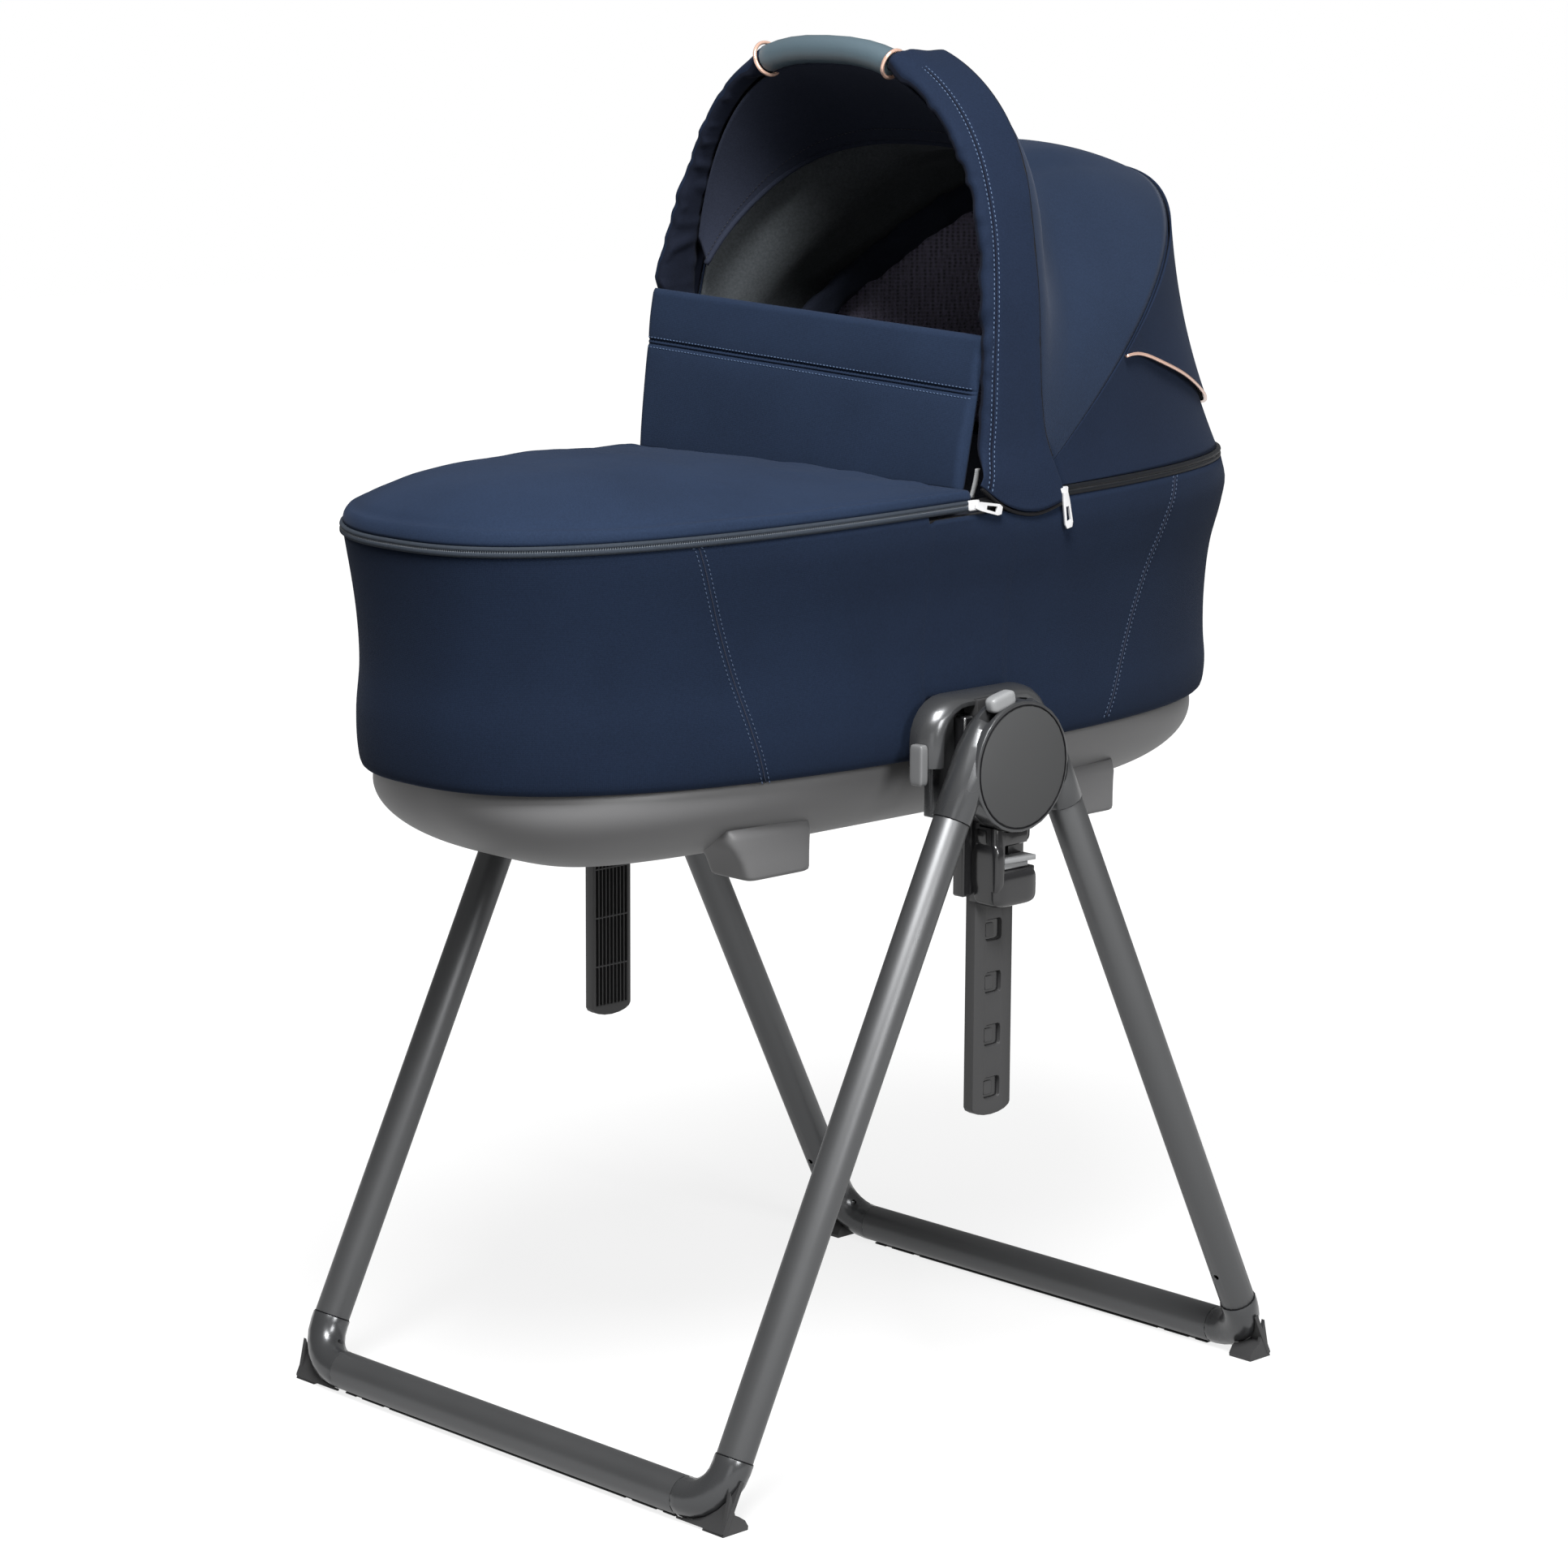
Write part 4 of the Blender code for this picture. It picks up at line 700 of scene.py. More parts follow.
# %% Blocks under the tub
BLOCK_SPANS = ((-0.205, -0.127), (0.170, 0.232))
BLOCK_MIDDLE_Y, BLOCK_HALF_Y, BLOCK_Z = 0.132, 0.024, 0.478
BLOCK_AROUND, BLOCK_EXPONENT, BLOCK_SHIFT, BLOCK_SWEEP, BLOCK_TOP = 48, 9.0, 0.004, 0.018, 0.044
BLOCK_PROFILE = ((0.0, 0.02), (0.0, 0.6), (0.0004, 0.93), (0.0016, 0.985), (0.004, 1.0), (0.015, 1.0),
                 (0.026, 1.006), (0.034, 1.018), (0.0435, 0.96))


def block_grid(x0, x1, hand):
    """Rings of one block. The profile gives heights above its foot and how wide it is there."""
    c, s = rounded_pair(full_turn(BLOCK_AROUND), BLOCK_EXPONENT)
    half = (x1 - x0) / 2 - BLOCK_SHIFT
    rows = []
    for up, grow in BLOCK_PROFILE:
        sweep = BLOCK_SWEEP * smoothstep(np.array(up), 0.0, BLOCK_TOP) * (c < 0) * np.abs(c)
        x = (x0 + x1) / 2 + BLOCK_SHIFT + half * grow * c - sweep * (x0 < 0) - 0.2 * sweep
        y = hand * BLOCK_MIDDLE_Y + BLOCK_HALF_Y * grow * s
        rows.append(np.stack([x, y, np.full(BLOCK_AROUND, BLOCK_Z + up)], -1))
    return np.array(rows)


for x0, x1 in BLOCK_SPANS:
    for hand in (-1, 1):
        pieces.append(grid_mesh("block", block_grid(x0, x1, hand), HULL, wrap_cols=True, cap_rows=True))
tub = joined("tub_shell", pieces)
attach(tub, "bassinet")
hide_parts("hull")
made(tub)

# %% [markdown]
# Two kinds of control are light grey so that a hand finds them: the fold button over each hub's
# cap, and the release tab on each head's front edge. They are small soft-cornered mouldings. A
# box whose sections and whose height both follow the rounded oblong gives that shape.

# %% Fold buttons and release tabs
SIDES = ((-1, "near"), (1, "far"))
HUB_Z, BOX_ROWS = 0.5603, 21
BUTTON_TURN, BUTTON_SLOPE = math.radians(110), math.radians(12.4)
BUTTON_REACH, BUTTON_RAISE, BUTTON_Y = 0.0535, 0.0036, 0.2552
BUTTON_HALF, BUTTON_POWER = (0.0140, 0.0062, 0.0068), 3.6
TAB_X, TAB_Y, TAB_Z = -0.0733, 0.2195, 0.5650
TAB_HALF, TAB_POWER = (0.0042, 0.0068, 0.0165), 7.0


def soft_box(name, centre, half, material, along=(1, 0, 0), power=4.0, count=40):
    """A box with rounded edges, turned so that its length follows a direction in the x-z plane."""
    long = np.array(along, float)
    tall = np.array((-long[2], 0, long[0]))
    c, s = rounded_pair(full_turn(count), power)
    rows = []
    for k in range(1, BOX_ROWS):
        size, height = rounded_pair(np.array(-math.pi / 2 + math.pi * k / BOX_ROWS), power)
        row = np.array(centre) + long * (half[0] * size * c)[:, None] + tall * (half[2] * size * s)[:, None]
        rows.append(row + np.array((0, half[1], 0)) * height)
    return grid_mesh(name, np.array(rows), material, wrap_cols=True, cap_rows=True)


for hand, side_name in SIDES:
    up = HUB_Z + BUTTON_REACH * math.sin(BUTTON_TURN) + BUTTON_RAISE
    place = (BUTTON_REACH * math.cos(BUTTON_TURN), hand * BUTTON_Y, up)
    way = (math.cos(BUTTON_SLOPE), 0, math.sin(BUTTON_SLOPE))
    button = soft_box("fold_button_cap_" + side_name, place, BUTTON_HALF, GREY, way, BUTTON_POWER)
    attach(button, "fold_button_" + side_name)
    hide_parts("fold_button_" + side_name)
    place = (TAB_X, hand * TAB_Y, TAB_Z)
    tab = soft_box("release_tab_cap_" + side_name, place, TAB_HALF, TAB_GREY, power=TAB_POWER)
    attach(tab, "release_tab_" + side_name)
    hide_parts("release_tab_" + side_name)
    made(button, tab)

# %% [markdown]
# The housing that guides each support strip is a soft-cornered moulding with a post beside its
# lever. Three rounded forms cover the plain CAD block: its foot, the post and its head.

# %% Housing covers
HOUSING_FORMS = (
    ((0.0, 0.2455, 0.4612), (0.0254, 0.0150, 0.0150), 5.0),
    ((-0.0198, 0.2455, 0.4780), (0.0062, 0.0152, 0.0230), 3.6),
    ((0.0, 0.2420, 0.5040), (0.0254, 0.0115, 0.0105), 4.0),
)
for hand, side_name in SIDES:
    forms = []
    for (x, y, z), half, power in HOUSING_FORMS:
        forms.append(soft_box("form", (x, hand * y, z), half, BLACK, power=power))
    cover = joined("housing_cover_" + side_name, forms)
    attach(cover, "hub_housings")
    made(cover)

# %% [markdown]
# Down each support strip runs a row of windows, one for each height. Behind every opening lies a
# black floor, painted shade for the hollow, with a small tooth on it; the same rounded box makes both.

# %% Windows of the support strips
WINDOW_TOP_Z, WINDOW_PITCH, WINDOWS, WINDOW_FLOOR_Y = 0.4669, 0.0436, 5, 0.2309
FLOOR_HALF, TOOTH_HALF = (0.0086, 0.0006, 0.0082), (0.0046, 0.0010, 0.0058)
TOOTH_X, TOOTH_OUT = -0.0028, 1.003
shade_floors, teeth = [], []
for side_y in (-WINDOW_FLOOR_Y, WINDOW_FLOOR_Y):
    for k in range(WINDOWS):
        z = WINDOW_TOP_Z - WINDOW_PITCH * k
        # Each black floor is painted shade in the window's hollow.
        shade_floors.append(soft_box("floor", (0, side_y, z), FLOOR_HALF, BLACK, power=8.0, count=32))
        place = (TOOTH_X, side_y * TOOTH_OUT, z)
        teeth.append(soft_box("tooth", place, TOOTH_HALF, PLASTIC, power=6.0, count=32))
for name, parts in (("window_shade_floors", shade_floors), ("window_teeth", teeth)):
    piece = joined(name, parts)
    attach(piece, "height_carriage")
    made(piece)

# %% [markdown]
# Where a tube enters a casting or an elbow, and round each hub's cap, the real stand shows a fine
# dark line, the shade in a narrow gap. A thin black cord laid in each joint paints that shade, so
# that the line shows under any light.

# %% Joint rings, painted shade
LEG_LEAN, LEG_STEP, LEG_Y, LEG_R = math.radians(26.4), 0.0416, 0.248, 0.015
JOINTS_ALONG, GAP_SHADE_CORD_R = (0.0621, 0.5869), 0.0006
CAP_GAP_R, CAP_GAP_Y = 0.0496, 0.2640
X_WAY, Y_WAY, Z_WAY = np.eye(3)


def leg_point(hand, along, y):
    """A place down a leg: hand -1 for the front leg, 1 for the rear one."""
    c, s = math.cos(LEG_LEAN), math.sin(LEG_LEAN)
    start = np.array((hand * c * LEG_STEP, y, HUB_Z + s * LEG_STEP))
    return start + along * np.array((hand * s, 0, -c))


for hand, name in ((-1, "front"), (1, "rear")):
    lines = []
    for side_y in (-LEG_Y, LEG_Y):
        for along in JOINTS_ALONG:
            axis = leg_point(hand, along + 1, side_y) - leg_point(hand, along, side_y)
            centre = leg_point(hand, along, side_y)
            lines.append(circle(centre, LEG_R, np.cross(axis, Y_WAY), Y_WAY, 48))
        if hand < 0:
            centre = np.array((0, math.copysign(CAP_GAP_Y, side_y), HUB_Z))
            lines.append(circle(centre, CAP_GAP_R, X_WAY, Z_WAY, 72))
    ring = joined("joint_shade_lines_" + name, [
        cord("ring", line, GAP_SHADE_CORD_R, BINDING, sides=6, closed=True) for line in lines])
    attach(ring, name + "_frame")
    made(ring)

# %% [markdown]
# The side is one padded band round the tub, joined to the rim under the zip and open at its hem.
# It swells slightly and leans in toward the bottom. The hem steps up over each side bracket so
# that the bassinet can drop on to its stand.

# %% Fabric side
SIDE_SHARES = (0.000, 0.110, 0.235, 0.435, 0.630, 0.790, 0.890, 0.978)
FOOT_INSETS = (0.011, 0.0085, 0.008, 0.011, 0.0095, 0.006, 0.003, 0.000)
HEAD_INSETS = (0.0090, 0.0070, 0.0090, 0.0085, 0.0040, -0.0045, -0.0075, -0.0030)
SLOT_LIFT, SLOT_FROM, SLOT_TO = 0.235, 0.0446, 0.0520
SIDE_TOP, SIDE_THICK = 0.978, 0.0045


def side_inset(a, share):
    toward_head = (1 + np.cos(a)) / 2
    foot = through(share, SIDE_SHARES, FOOT_INSETS)
    return foot + (through(share, SIDE_SHARES, HEAD_INSETS) - foot) * toward_head


def side_points(a, share, deeper=0.0):
    """Points of the fabric side: angles a round the rim, share 0 at the hem to 1 at the rim."""
    a, share = np.broadcast_arrays(a, share)
    x, y = rim_xy(a, side_inset(a, share) + deeper)
    return np.stack([x, y, HEM_Z + share * (rim_height(x) - HEM_Z)], -1)


def side_normals(a, share):
    round_way = side_points(a + 0.002, share) - side_points(a - 0.002, share)
    up_way = side_points(a, share + 0.005) - side_points(a, share - 0.005)
    n = np.cross(round_way, up_way)
    return n / np.linalg.norm(n, axis=-1, keepdims=True)


def hem_lift(x):
    """How far up the side, as a share, the hem stands over the side bracket's slot."""
    return SLOT_LIFT * (1 - smoothstep(np.abs(x), SLOT_FROM, SLOT_TO))


def side_grid():
    """Rows down the outer face, round the hem and up the inner face."""
    angles = even_angles(641)[0][:-1]
    shares = np.concatenate([np.linspace(SIDE_TOP, 0.05, 34), [0.03, 0.012, 0.003]])
    deep = np.concatenate([np.zeros(34), [0.0003, 0.0012, 0.0028]])
    shares = np.concatenate([shares, [0.0, 0.0], np.linspace(0.05, SIDE_TOP, 10)])[:, None]
    deep = np.concatenate([deep, [0.0060, 0.0105], np.full(10, SIDE_THICK)])[:, None]
    lift = hem_lift(rim_xy(angles)[0])[None, :]
    return side_points(angles[None, :], shares * (1 - lift) + lift * (shares < SIDE_TOP), deep)


side = grid_mesh("side_cloth", side_grid(), SIDE_NAVY_SHADE, wrap_rows=True, wrap_cols=True)
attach(side, "bassinet")
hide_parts("fabric_body")
made(side)

# %% [markdown]
# On each side two seams cross the cloth on a slant, each with a sunk line and a row of stitches
# left and right of it. The lines are drawn on the cloth's own surface, by height and place, and
# mirrored to the far side.

# %% Side seams
SEAM_LINES = ((-0.2704, 0.7544, -0.2035, 0.5625), (0.2657, 0.7617, 0.1802, 0.5696))
SEAM_HALF, SEAM_CORD_R = 0.0034, 0.0006


def side_line(x, z, shift=0.0, above=0.0003):
    """A line on the near side's cloth through given x and z, with its outward directions."""
    x = np.asarray(x) + shift
    share = np.clip((z - HEM_Z) / (rim_height(x) - HEM_Z), 0.004, 0.972)
    a = rim_angle(x)
    for _ in range(3):
        a = rim_angle(x, side_inset(a, share))
    out = side_normals(a, share)
    out *= np.where((out * side_points(a, share)).sum(-1, keepdims=True) < 0, -1, 1)
    return side_points(a, share) + out * above, out


lines, cords = [], []
for x0, z0, x1, z1 in SEAM_LINES:
    x, z = np.linspace(x0, x1, 60), np.linspace(z0, z1, 60)
    for hand in (1, -1):
        for shift in (-SEAM_HALF, SEAM_HALF):
            points, out = side_line(x, z, shift)
            lines.append((points * (1, hand, 1), out * (1, hand, 1)))
        points, out = side_line(x, z, above=0.0001)
        cords.append(cord("seam", points * (1, hand, 1), SEAM_CORD_R, NAVY_DARK, sides=6))
seams = joined("side_seams", cords)
made(seams)
side_stitches = repeated("side_stitches", lines, SIDE_THREAD_SHADE)
for piece in (seams, side_stitches):
    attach(piece, "bassinet")

# %% [markdown]
# The apron is the padded cover over the foot end. Its wadding crowns it, its edge rolls over to
# meet the zip, and near the wind flap the cloth gathers a little where the two are sewn.

# %% Apron
APRON_END_X, APRON_CENTRE_X = -0.0050, -0.200
APRON_EDGE, APRON_POWER, APRON_FLATTEN = 0.0125, 4.6, 0.92
APRON_CROWN = ((-0.38, -0.20, -0.05), (0.0356, 0.0319, 0.0142))
APRON_ROLL = ((0.9925, 0.0008), (0.998, 0.0030), (1.001, 0.0058), (1.001, 0.0085), (0.996, 0.0089))
APRON_UNDER_Z, APRON_UNDER_CROWN = 0.0036, 0.85


def apron_outline(count=360, straight=80):
    share = (APRON_END_X - RIM_X) / RIM_A
    start = math.acos(math.copysign(abs(share) ** (RIM_EXPONENT / 2), share))
    x, y = rim_xy(even_angles(count, start, math.tau - start)[0])
    ys = np.linspace(-y[0], y[0], straight + 2)[1:-1]
    return np.concatenate([x, np.full(straight, APRON_END_X)]), np.concatenate([y, ys])


def apron_crown(x, y, s):
    """How far the wadding lifts the cover; it falls away to the sides and the wind flap."""
    return np.interp(x, *APRON_CROWN) * (1 - s**APRON_POWER) * (1 - APRON_FLATTEN * (y / 0.2) ** 2)


def apron_grid():
    """Rings from the middle of the cover outward, round its edge and back in underneath."""
    ox, oy = apron_outline()
    reach = np.hypot(ox - APRON_CENTRE_X, oy)
    rows = []
    scales = np.concatenate([np.linspace(0.01, 0.90, 26), np.linspace(0.915, 0.985, 10)])
    for s in scales:
        x = APRON_CENTRE_X + (ox - APRON_CENTRE_X) * s
        dimple = 0.0012 * np.exp(-(((1 - s) * reach - 0.009) / 0.004) ** 2)
        z = rim_height(x) + APRON_EDGE + apron_crown(x, oy * s, s) - dimple
        rows.append(np.stack([x, oy * s, z], -1))
    for s, drop in APRON_ROLL:
        x = APRON_CENTRE_X + (ox - APRON_CENTRE_X) * s
        rows.append(np.stack([x, oy * s, rim_height(x) + APRON_EDGE - drop], -1))
    for s in (0.955, 0.7, 0.3, 0.01):
        x = APRON_CENTRE_X + (ox - APRON_CENTRE_X) * s
        z = rim_height(x) + APRON_UNDER_Z + APRON_UNDER_CROWN * apron_crown(x, oy * s, s) * (s < 0.9)
        rows.append(np.stack([x, oy * s, z], -1))
    return np.array(rows), len(scales)


grid, top_rows = apron_grid()
top = grid[:top_rows]
lumps = unevenness(top, 14.0, 3.0) * 0.0016 + unevenness(top, 40.0, 9.0) * 0.0005
gathers = unevenness(top, 1.0, 21.0, stretch=(7, 42, 1)) * 0.0022 * smoothstep(top[..., 0], -0.14, -0.02)
top[..., 2] += lumps + gathers
apron = grid_mesh("apron_cover", grid, NAVY, wrap_cols=True, cap_rows=True)
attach(apron, "bassinet")
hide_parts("apron")
made(apron)

# %% [markdown]
# The wind flap stands across the hood's mouth. It is a soft pad that sags at its near end. A
# double seam crosses it: two sunk lines with a narrow band between. The pad is drawn upright
# first, with the seam in its profile, and then slumps as a whole.

# %% Wind flap
FLAP_HALF, FLAP_LOW, FLAP_HIGH, FLAP_SEAM = 0.190, 0.7715, 0.9040, 0.8510
FLAP_GROOVE, FLAP_THICK, FLAP_ROUND, FLAP_LUMPS = 0.0017, 0.0050, 0.007, 0.0009


def flap_profile():
    """Heights up the flap, closer together at the seam, and how far its face stands forward."""
    z = np.concatenate([
        np.linspace(FLAP_LOW + 0.002, FLAP_SEAM - 0.007, 24),
        np.linspace(FLAP_SEAM - 0.006, FLAP_SEAM + 0.006, 25),
        np.linspace(FLAP_SEAM + 0.007, FLAP_HIGH - 0.005, 18),
    ])
    grooves = sum(np.exp(-((z - FLAP_SEAM - s) / 0.0009) ** 2) for s in (-FLAP_GROOVE, FLAP_GROOVE))
    low = np.clip((z - FLAP_LOW) / (FLAP_SEAM - 0.003 - FLAP_LOW), 0, 1)
    high = np.clip((z - FLAP_SEAM - 0.003) / (FLAP_HIGH - FLAP_SEAM - 0.003), 0, 1)
    swell = 0.0026 * np.sin(np.pi * low) ** 0.5 + 0.0016 * np.sin(np.pi * high) ** 0.5
    return z, swell - 0.0013 * grooves


def flap_face(y, z, forward):
    """Front and rear face of the flap in x, leaning back a little toward its top."""
    lean = -0.0036 + 0.0050 * (z - FLAP_LOW) / (FLAP_HIGH - FLAP_LOW)
    side_share = np.sqrt(1 - np.clip((np.abs(y) - FLAP_HALF + FLAP_ROUND) / FLAP_ROUND, 0, 1) ** 2)
    front = lean + FLAP_THICK - (FLAP_THICK + forward) * side_share
    return front, lean + FLAP_THICK + 0.0048 * side_share


def flap_slump(points):
    """The flap is soft: it sags at its near end, and leans back toward the hood above its foot."""
    far = (points[..., 1] / FLAP_HALF + 1) / 2
    up = np.clip((points[..., 2] - FLAP_LOW) / (FLAP_HIGH - FLAP_LOW), 0, 1)
    middle, top = 0.015 * far - 0.002, 0.0145 * far - 0.009
    rise = middle * through(up, (0, 0.6, 1), (0, 1, 0)) + top * through(up, (0, 0.6, 1), (0, 0, 1))
    back = (1 - far) * (0.0020 + 0.0226 * up) + far * (0.0038 + 0.0112 * up)
    return points + np.stack([back, 0 * up, rise], -1)


def flap_grid():
    ys = np.linspace(-FLAP_HALF, FLAP_HALF, 151)
    ys = FLAP_HALF * np.sin(ys / FLAP_HALF * math.pi / 2) * 0.35 + ys * 0.65
    z, forward = flap_profile()
    front, rear = flap_face(ys[None, :], z[:, None], forward[:, None])
    yy, zz = np.broadcast_arrays(ys[None, :], z[:, None])
    outer, inner = np.stack([front, yy, zz], -1), np.stack([rear, yy, zz], -1)
    outer[..., 0] += unevenness(outer, 16.0, 5.0) * FLAP_LUMPS
    middle = (outer[-1] + inner[-1]) / 2
    crest = [outer[-1] * 0.72 + middle * 0.28 + (0, 0, 0.0026), middle + (0, 0, 0.0040)]
    crest += [inner[-1] * 0.72 + middle * 0.28 + (0, 0, 0.0026)]
    foot = [(outer[0] + inner[0]) / 2 - (0, 0, 0.002)]
    return flap_slump(np.concatenate([outer, np.array(crest), inner[::-1], np.array(foot)]))


grid = flap_grid()
flap = grid_mesh("wind_flap_pad", grid, NAVY, wrap_rows=True)
bm = bmesh.new()
bm.from_mesh(flap.data)
bmesh.ops.holes_fill(bm, edges=[e for e in bm.edges if e.is_boundary])
bmesh.ops.recalc_face_normals(bm, faces=bm.faces)
bm.to_mesh(flap.data)
bm.free()
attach(flap, "wind_flap")
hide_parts("wind_flap")
made(flap)

# %% [markdown]
# A row of stitches runs above and below the flap's seam, on the same slumped face. A short pale
# strap ties each lower corner back: a flat band with a slight bend, drawn up its height.

# %% Stitches and straps of the wind flap
FLAP_STITCH, FLAP_STITCH_POINTS = 0.0042, 200
STRAP_LOW, STRAP_HIGH, STRAP_X, STRAP_APART, STRAP_Y = 0.7675, 0.7905, 0.0126, 0.0050, 0.1955
STRAP_SECTION = ((-0.0026, 0), (0.0026, 0), (0.0026, 0.0011), (-0.0026, 0.0011))
ys = np.linspace(-FLAP_HALF + 0.004, FLAP_HALF - 0.004, FLAP_STITCH_POINTS)
lines = []
z_rows, forward_rows = flap_profile()
for side_of in (-FLAP_STITCH, FLAP_STITCH):
    z = np.full(FLAP_STITCH_POINTS, FLAP_SEAM + side_of)
    x = flap_face(ys, z, np.interp(z[0], z_rows, forward_rows))[0] - 0.0003
    points = np.stack([x, ys, z], -1)
    points[:, 0] += unevenness(points[None], 16.0, 5.0)[0] * FLAP_LUMPS
    lines.append((flap_slump(points), (-1, 0, 0)))
flap_stitches = repeated("wind_flap_stitches", lines, THREAD)
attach(flap_stitches, "wind_flap")
straps = []
for hand in (-1, 1):
    z = np.linspace(STRAP_LOW, STRAP_HIGH, 12)
    bend = 0.31 * (z - z[0]) + 0.0008 * np.sin((z - z[0]) * 140)
    rows = []
    for dx, dy in STRAP_SECTION:
        x = STRAP_X + STRAP_APART * hand + dx + bend
        rows.append(np.stack([x, hand * (STRAP_Y + dy) + 0 * z, z], -1))
    strap = grid_mesh("strap", np.array(rows).transpose(1, 0, 2), STRAP, wrap_cols=True, cap_rows=True)
    straps.append(strap)
strap = joined("wind_flap_straps", straps)
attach(strap, "bassinet")
made(strap)

# %% [markdown]
# A padded sleeve wraps each leg of the front bow. Its front edge, its stitched seam and its rear
# edge are distances before or behind the bow's plane, given by how far up the bow they are. The
# bow's own line carries them: its points lie at even steps, each with an outward direction.

# %% Sleeve edges along the front bow
# For each edge: how far up the bow, and how far behind the bow's plane.
SLEEVE_FRONT = ((0, 0.009, 0.05, 0.10, 0.14, 0.164, 0.21, 0.26, 0.36),
                 (-0.0610, -0.0585, -0.0490, -0.0380, -0.0311, -0.0270, -0.0170, -0.0078, -0.0065))
SLEEVE_REAR = ((0, 0.012, 0.03, 0.05, 0.075, 0.109, 0.156, 0.189, 0.215, 0.247, 0.284, 0.36),
               (0.0385, 0.0335, 0.0262, 0.0205, 0.0190, 0.0216,
                0.0288, 0.0340, 0.0394, 0.0480, 0.0545, 0.0560))
SLEEVE_SEAM = ((0, 0.05, 0.119, 0.163, 0.204, 0.241, 0.27, 0.298, 0.36),
               (-0.0520, -0.0415, -0.0290, -0.0192, -0.0087, -0.0006, 0.0050, 0.0085, 0.0095))
SLEEVE_FOOT = ((-0.061, -0.0337, 0.0, 0.0385), (0.0187, -0.0013, -0.0121, -0.0085))
GRIP_HALF = 0.071
GRIP_TURN = math.acos((GRIP_HALF / FRONT_BOW[2]) ** (FRONT_BOW[3] / 2))
BOW_TILT = math.radians(FRONT_BOW[0])
BOW_NORMAL = np.array((math.cos(BOW_TILT), 0, -math.sin(BOW_TILT)))
BOW_UP = np.array((math.sin(BOW_TILT), 0, math.cos(BOW_TILT)))


def bow_line(count=150):
    """Reach, place and outward direction at even steps up the near half of the front bow."""
    t = np.concatenate([[0], np.geomspace(1e-4, GRIP_TURN - 0.016, 3000)])
    points = bow_points(FRONT_BOW, math.pi - t)
    points = evenly(points, np.linalg.norm(np.diff(points, axis=0), axis=1).sum() / (count - 1))
    tangents = np.gradient(points, axis=0)
    tangents /= np.linalg.norm(tangents, axis=1, keepdims=True)
    across = np.cross(tangents, BOW_NORMAL)
    across *= np.where(across[:, 1:2] > 0, -1, 1)
    return (points - PIVOT) @ BOW_UP, points, across


REACH, LINE, ACROSS = bow_line()
print("the sleeve's line ends", round(float(REACH[-1]), 3), "m above the hinge")

# %% [markdown]
# Round the bow the sleeve is a flat rounded loop, thicker at its foot. The front edge is gathered
# on a tape, so it ripples, and the cloth crumples most on its inner face. At its foot the sleeve
# hangs past the rim and ends in a shallow curve.

# %% Sleeve surface
SLEEVE_POWER, SLEEVE_AROUND, SLEEVE_STEP = 3.0, 72, 0.0042
SLEEVE_GATHER, SLEEVE_CRUMPLE, SLEEVE_COVER, SLEEVE_SKIRT = 0.0032, 0.0052, -0.0078, 0.004


def sleeve_limits(reach):
    """How far out of the bow's line the sleeve's outer and inner face lie."""
    low = smoothstep(reach, 0.012, 0.050)
    outer = 0.0118 + (0.0086 - 0.0118) * low
    inner = 0.0088 + (-0.0078 - 0.0088) * low
    return outer, inner


def sleeve_place(k, s, off):
    """Point at station k, s behind the bow's plane and off outward of its line."""
    foot = through(np.clip(s, SLEEVE_FOOT[0][0], SLEEVE_FOOT[0][-1]), *SLEEVE_FOOT)
    drop = foot * np.clip(1 - REACH[k] / 0.05, 0, 1) ** 1.3
    behind, out, down = (np.asarray(part)[..., None] for part in (s, off, drop))
    return LINE[k] + BOW_NORMAL * behind + ACROSS[k] * out + BOW_UP * down


def sleeve_front(k, reach, pushed):
    """The gathered front edge. High up it never uncovers the bow."""
    ripple = noise.noise(Vector((k * SLEEVE_STEP * 42, 0.3, 7.1))) - 0.25
    front = through(reach, *SLEEVE_FRONT) + SLEEVE_GATHER * ripple * smoothstep(reach, 0.06, 0.12)
    front += pushed * (1 - smoothstep(reach, 0.06, 0.17))
    return min(front, SLEEVE_COVER) if reach > 0.2 else front


def sleeve_grid(pushed=0.0):
    """Rings round the bow; pushed is how far the wind flap's end presses the front edge back."""
    rows = []
    c, s = rounded_pair(full_turn(SLEEVE_AROUND), SLEEVE_POWER)
    for k, reach in enumerate(REACH):
        v = k * SLEEVE_STEP
        front, rear = sleeve_front(k, reach, pushed), through(reach, *SLEEVE_REAR)
        outer, inner = sleeve_limits(reach)
        at = (front + rear) / 2 + (rear - front) / 2 * c
        inner = inner + (np.maximum(inner, outer - SLEEVE_SKIRT) - inner) * smoothstep(at, 0.006, 0.016)
        off = (outer + inner) / 2 + (outer - inner) / 2 * s
        share = (at - front) / (rear - front)
        inward = (outer - off) / (outer - inner)
        crumple = np.array([min(noise.noise(Vector((v * 46, q * 2.2, 3.7))), 0.05) for q in share])
        weight = np.clip(inward * 1.3, 0, 1) * (1 - 0.5 * share) + (1 - smoothstep(share, 0.0, 0.16)) * 0.5
        seam = through(reach, *SLEEVE_SEAM)
        sunk = 0.0007 * np.exp(-((at - seam) / 0.0022) ** 2) * (s > 0)
        full = 0.0060 * smoothstep(reach, 0.325, 0.350)
        full = full * (1 - smoothstep(np.abs(at - 0.006), 0.006, 0.034))
        crumple = crumple * SLEEVE_CRUMPLE * weight * smoothstep(reach, 0.05, 0.11)
        off = off + crumple - sunk + full * (s > 0)
        rows.append(sleeve_place(k, at, off))
    return np.array(rows)


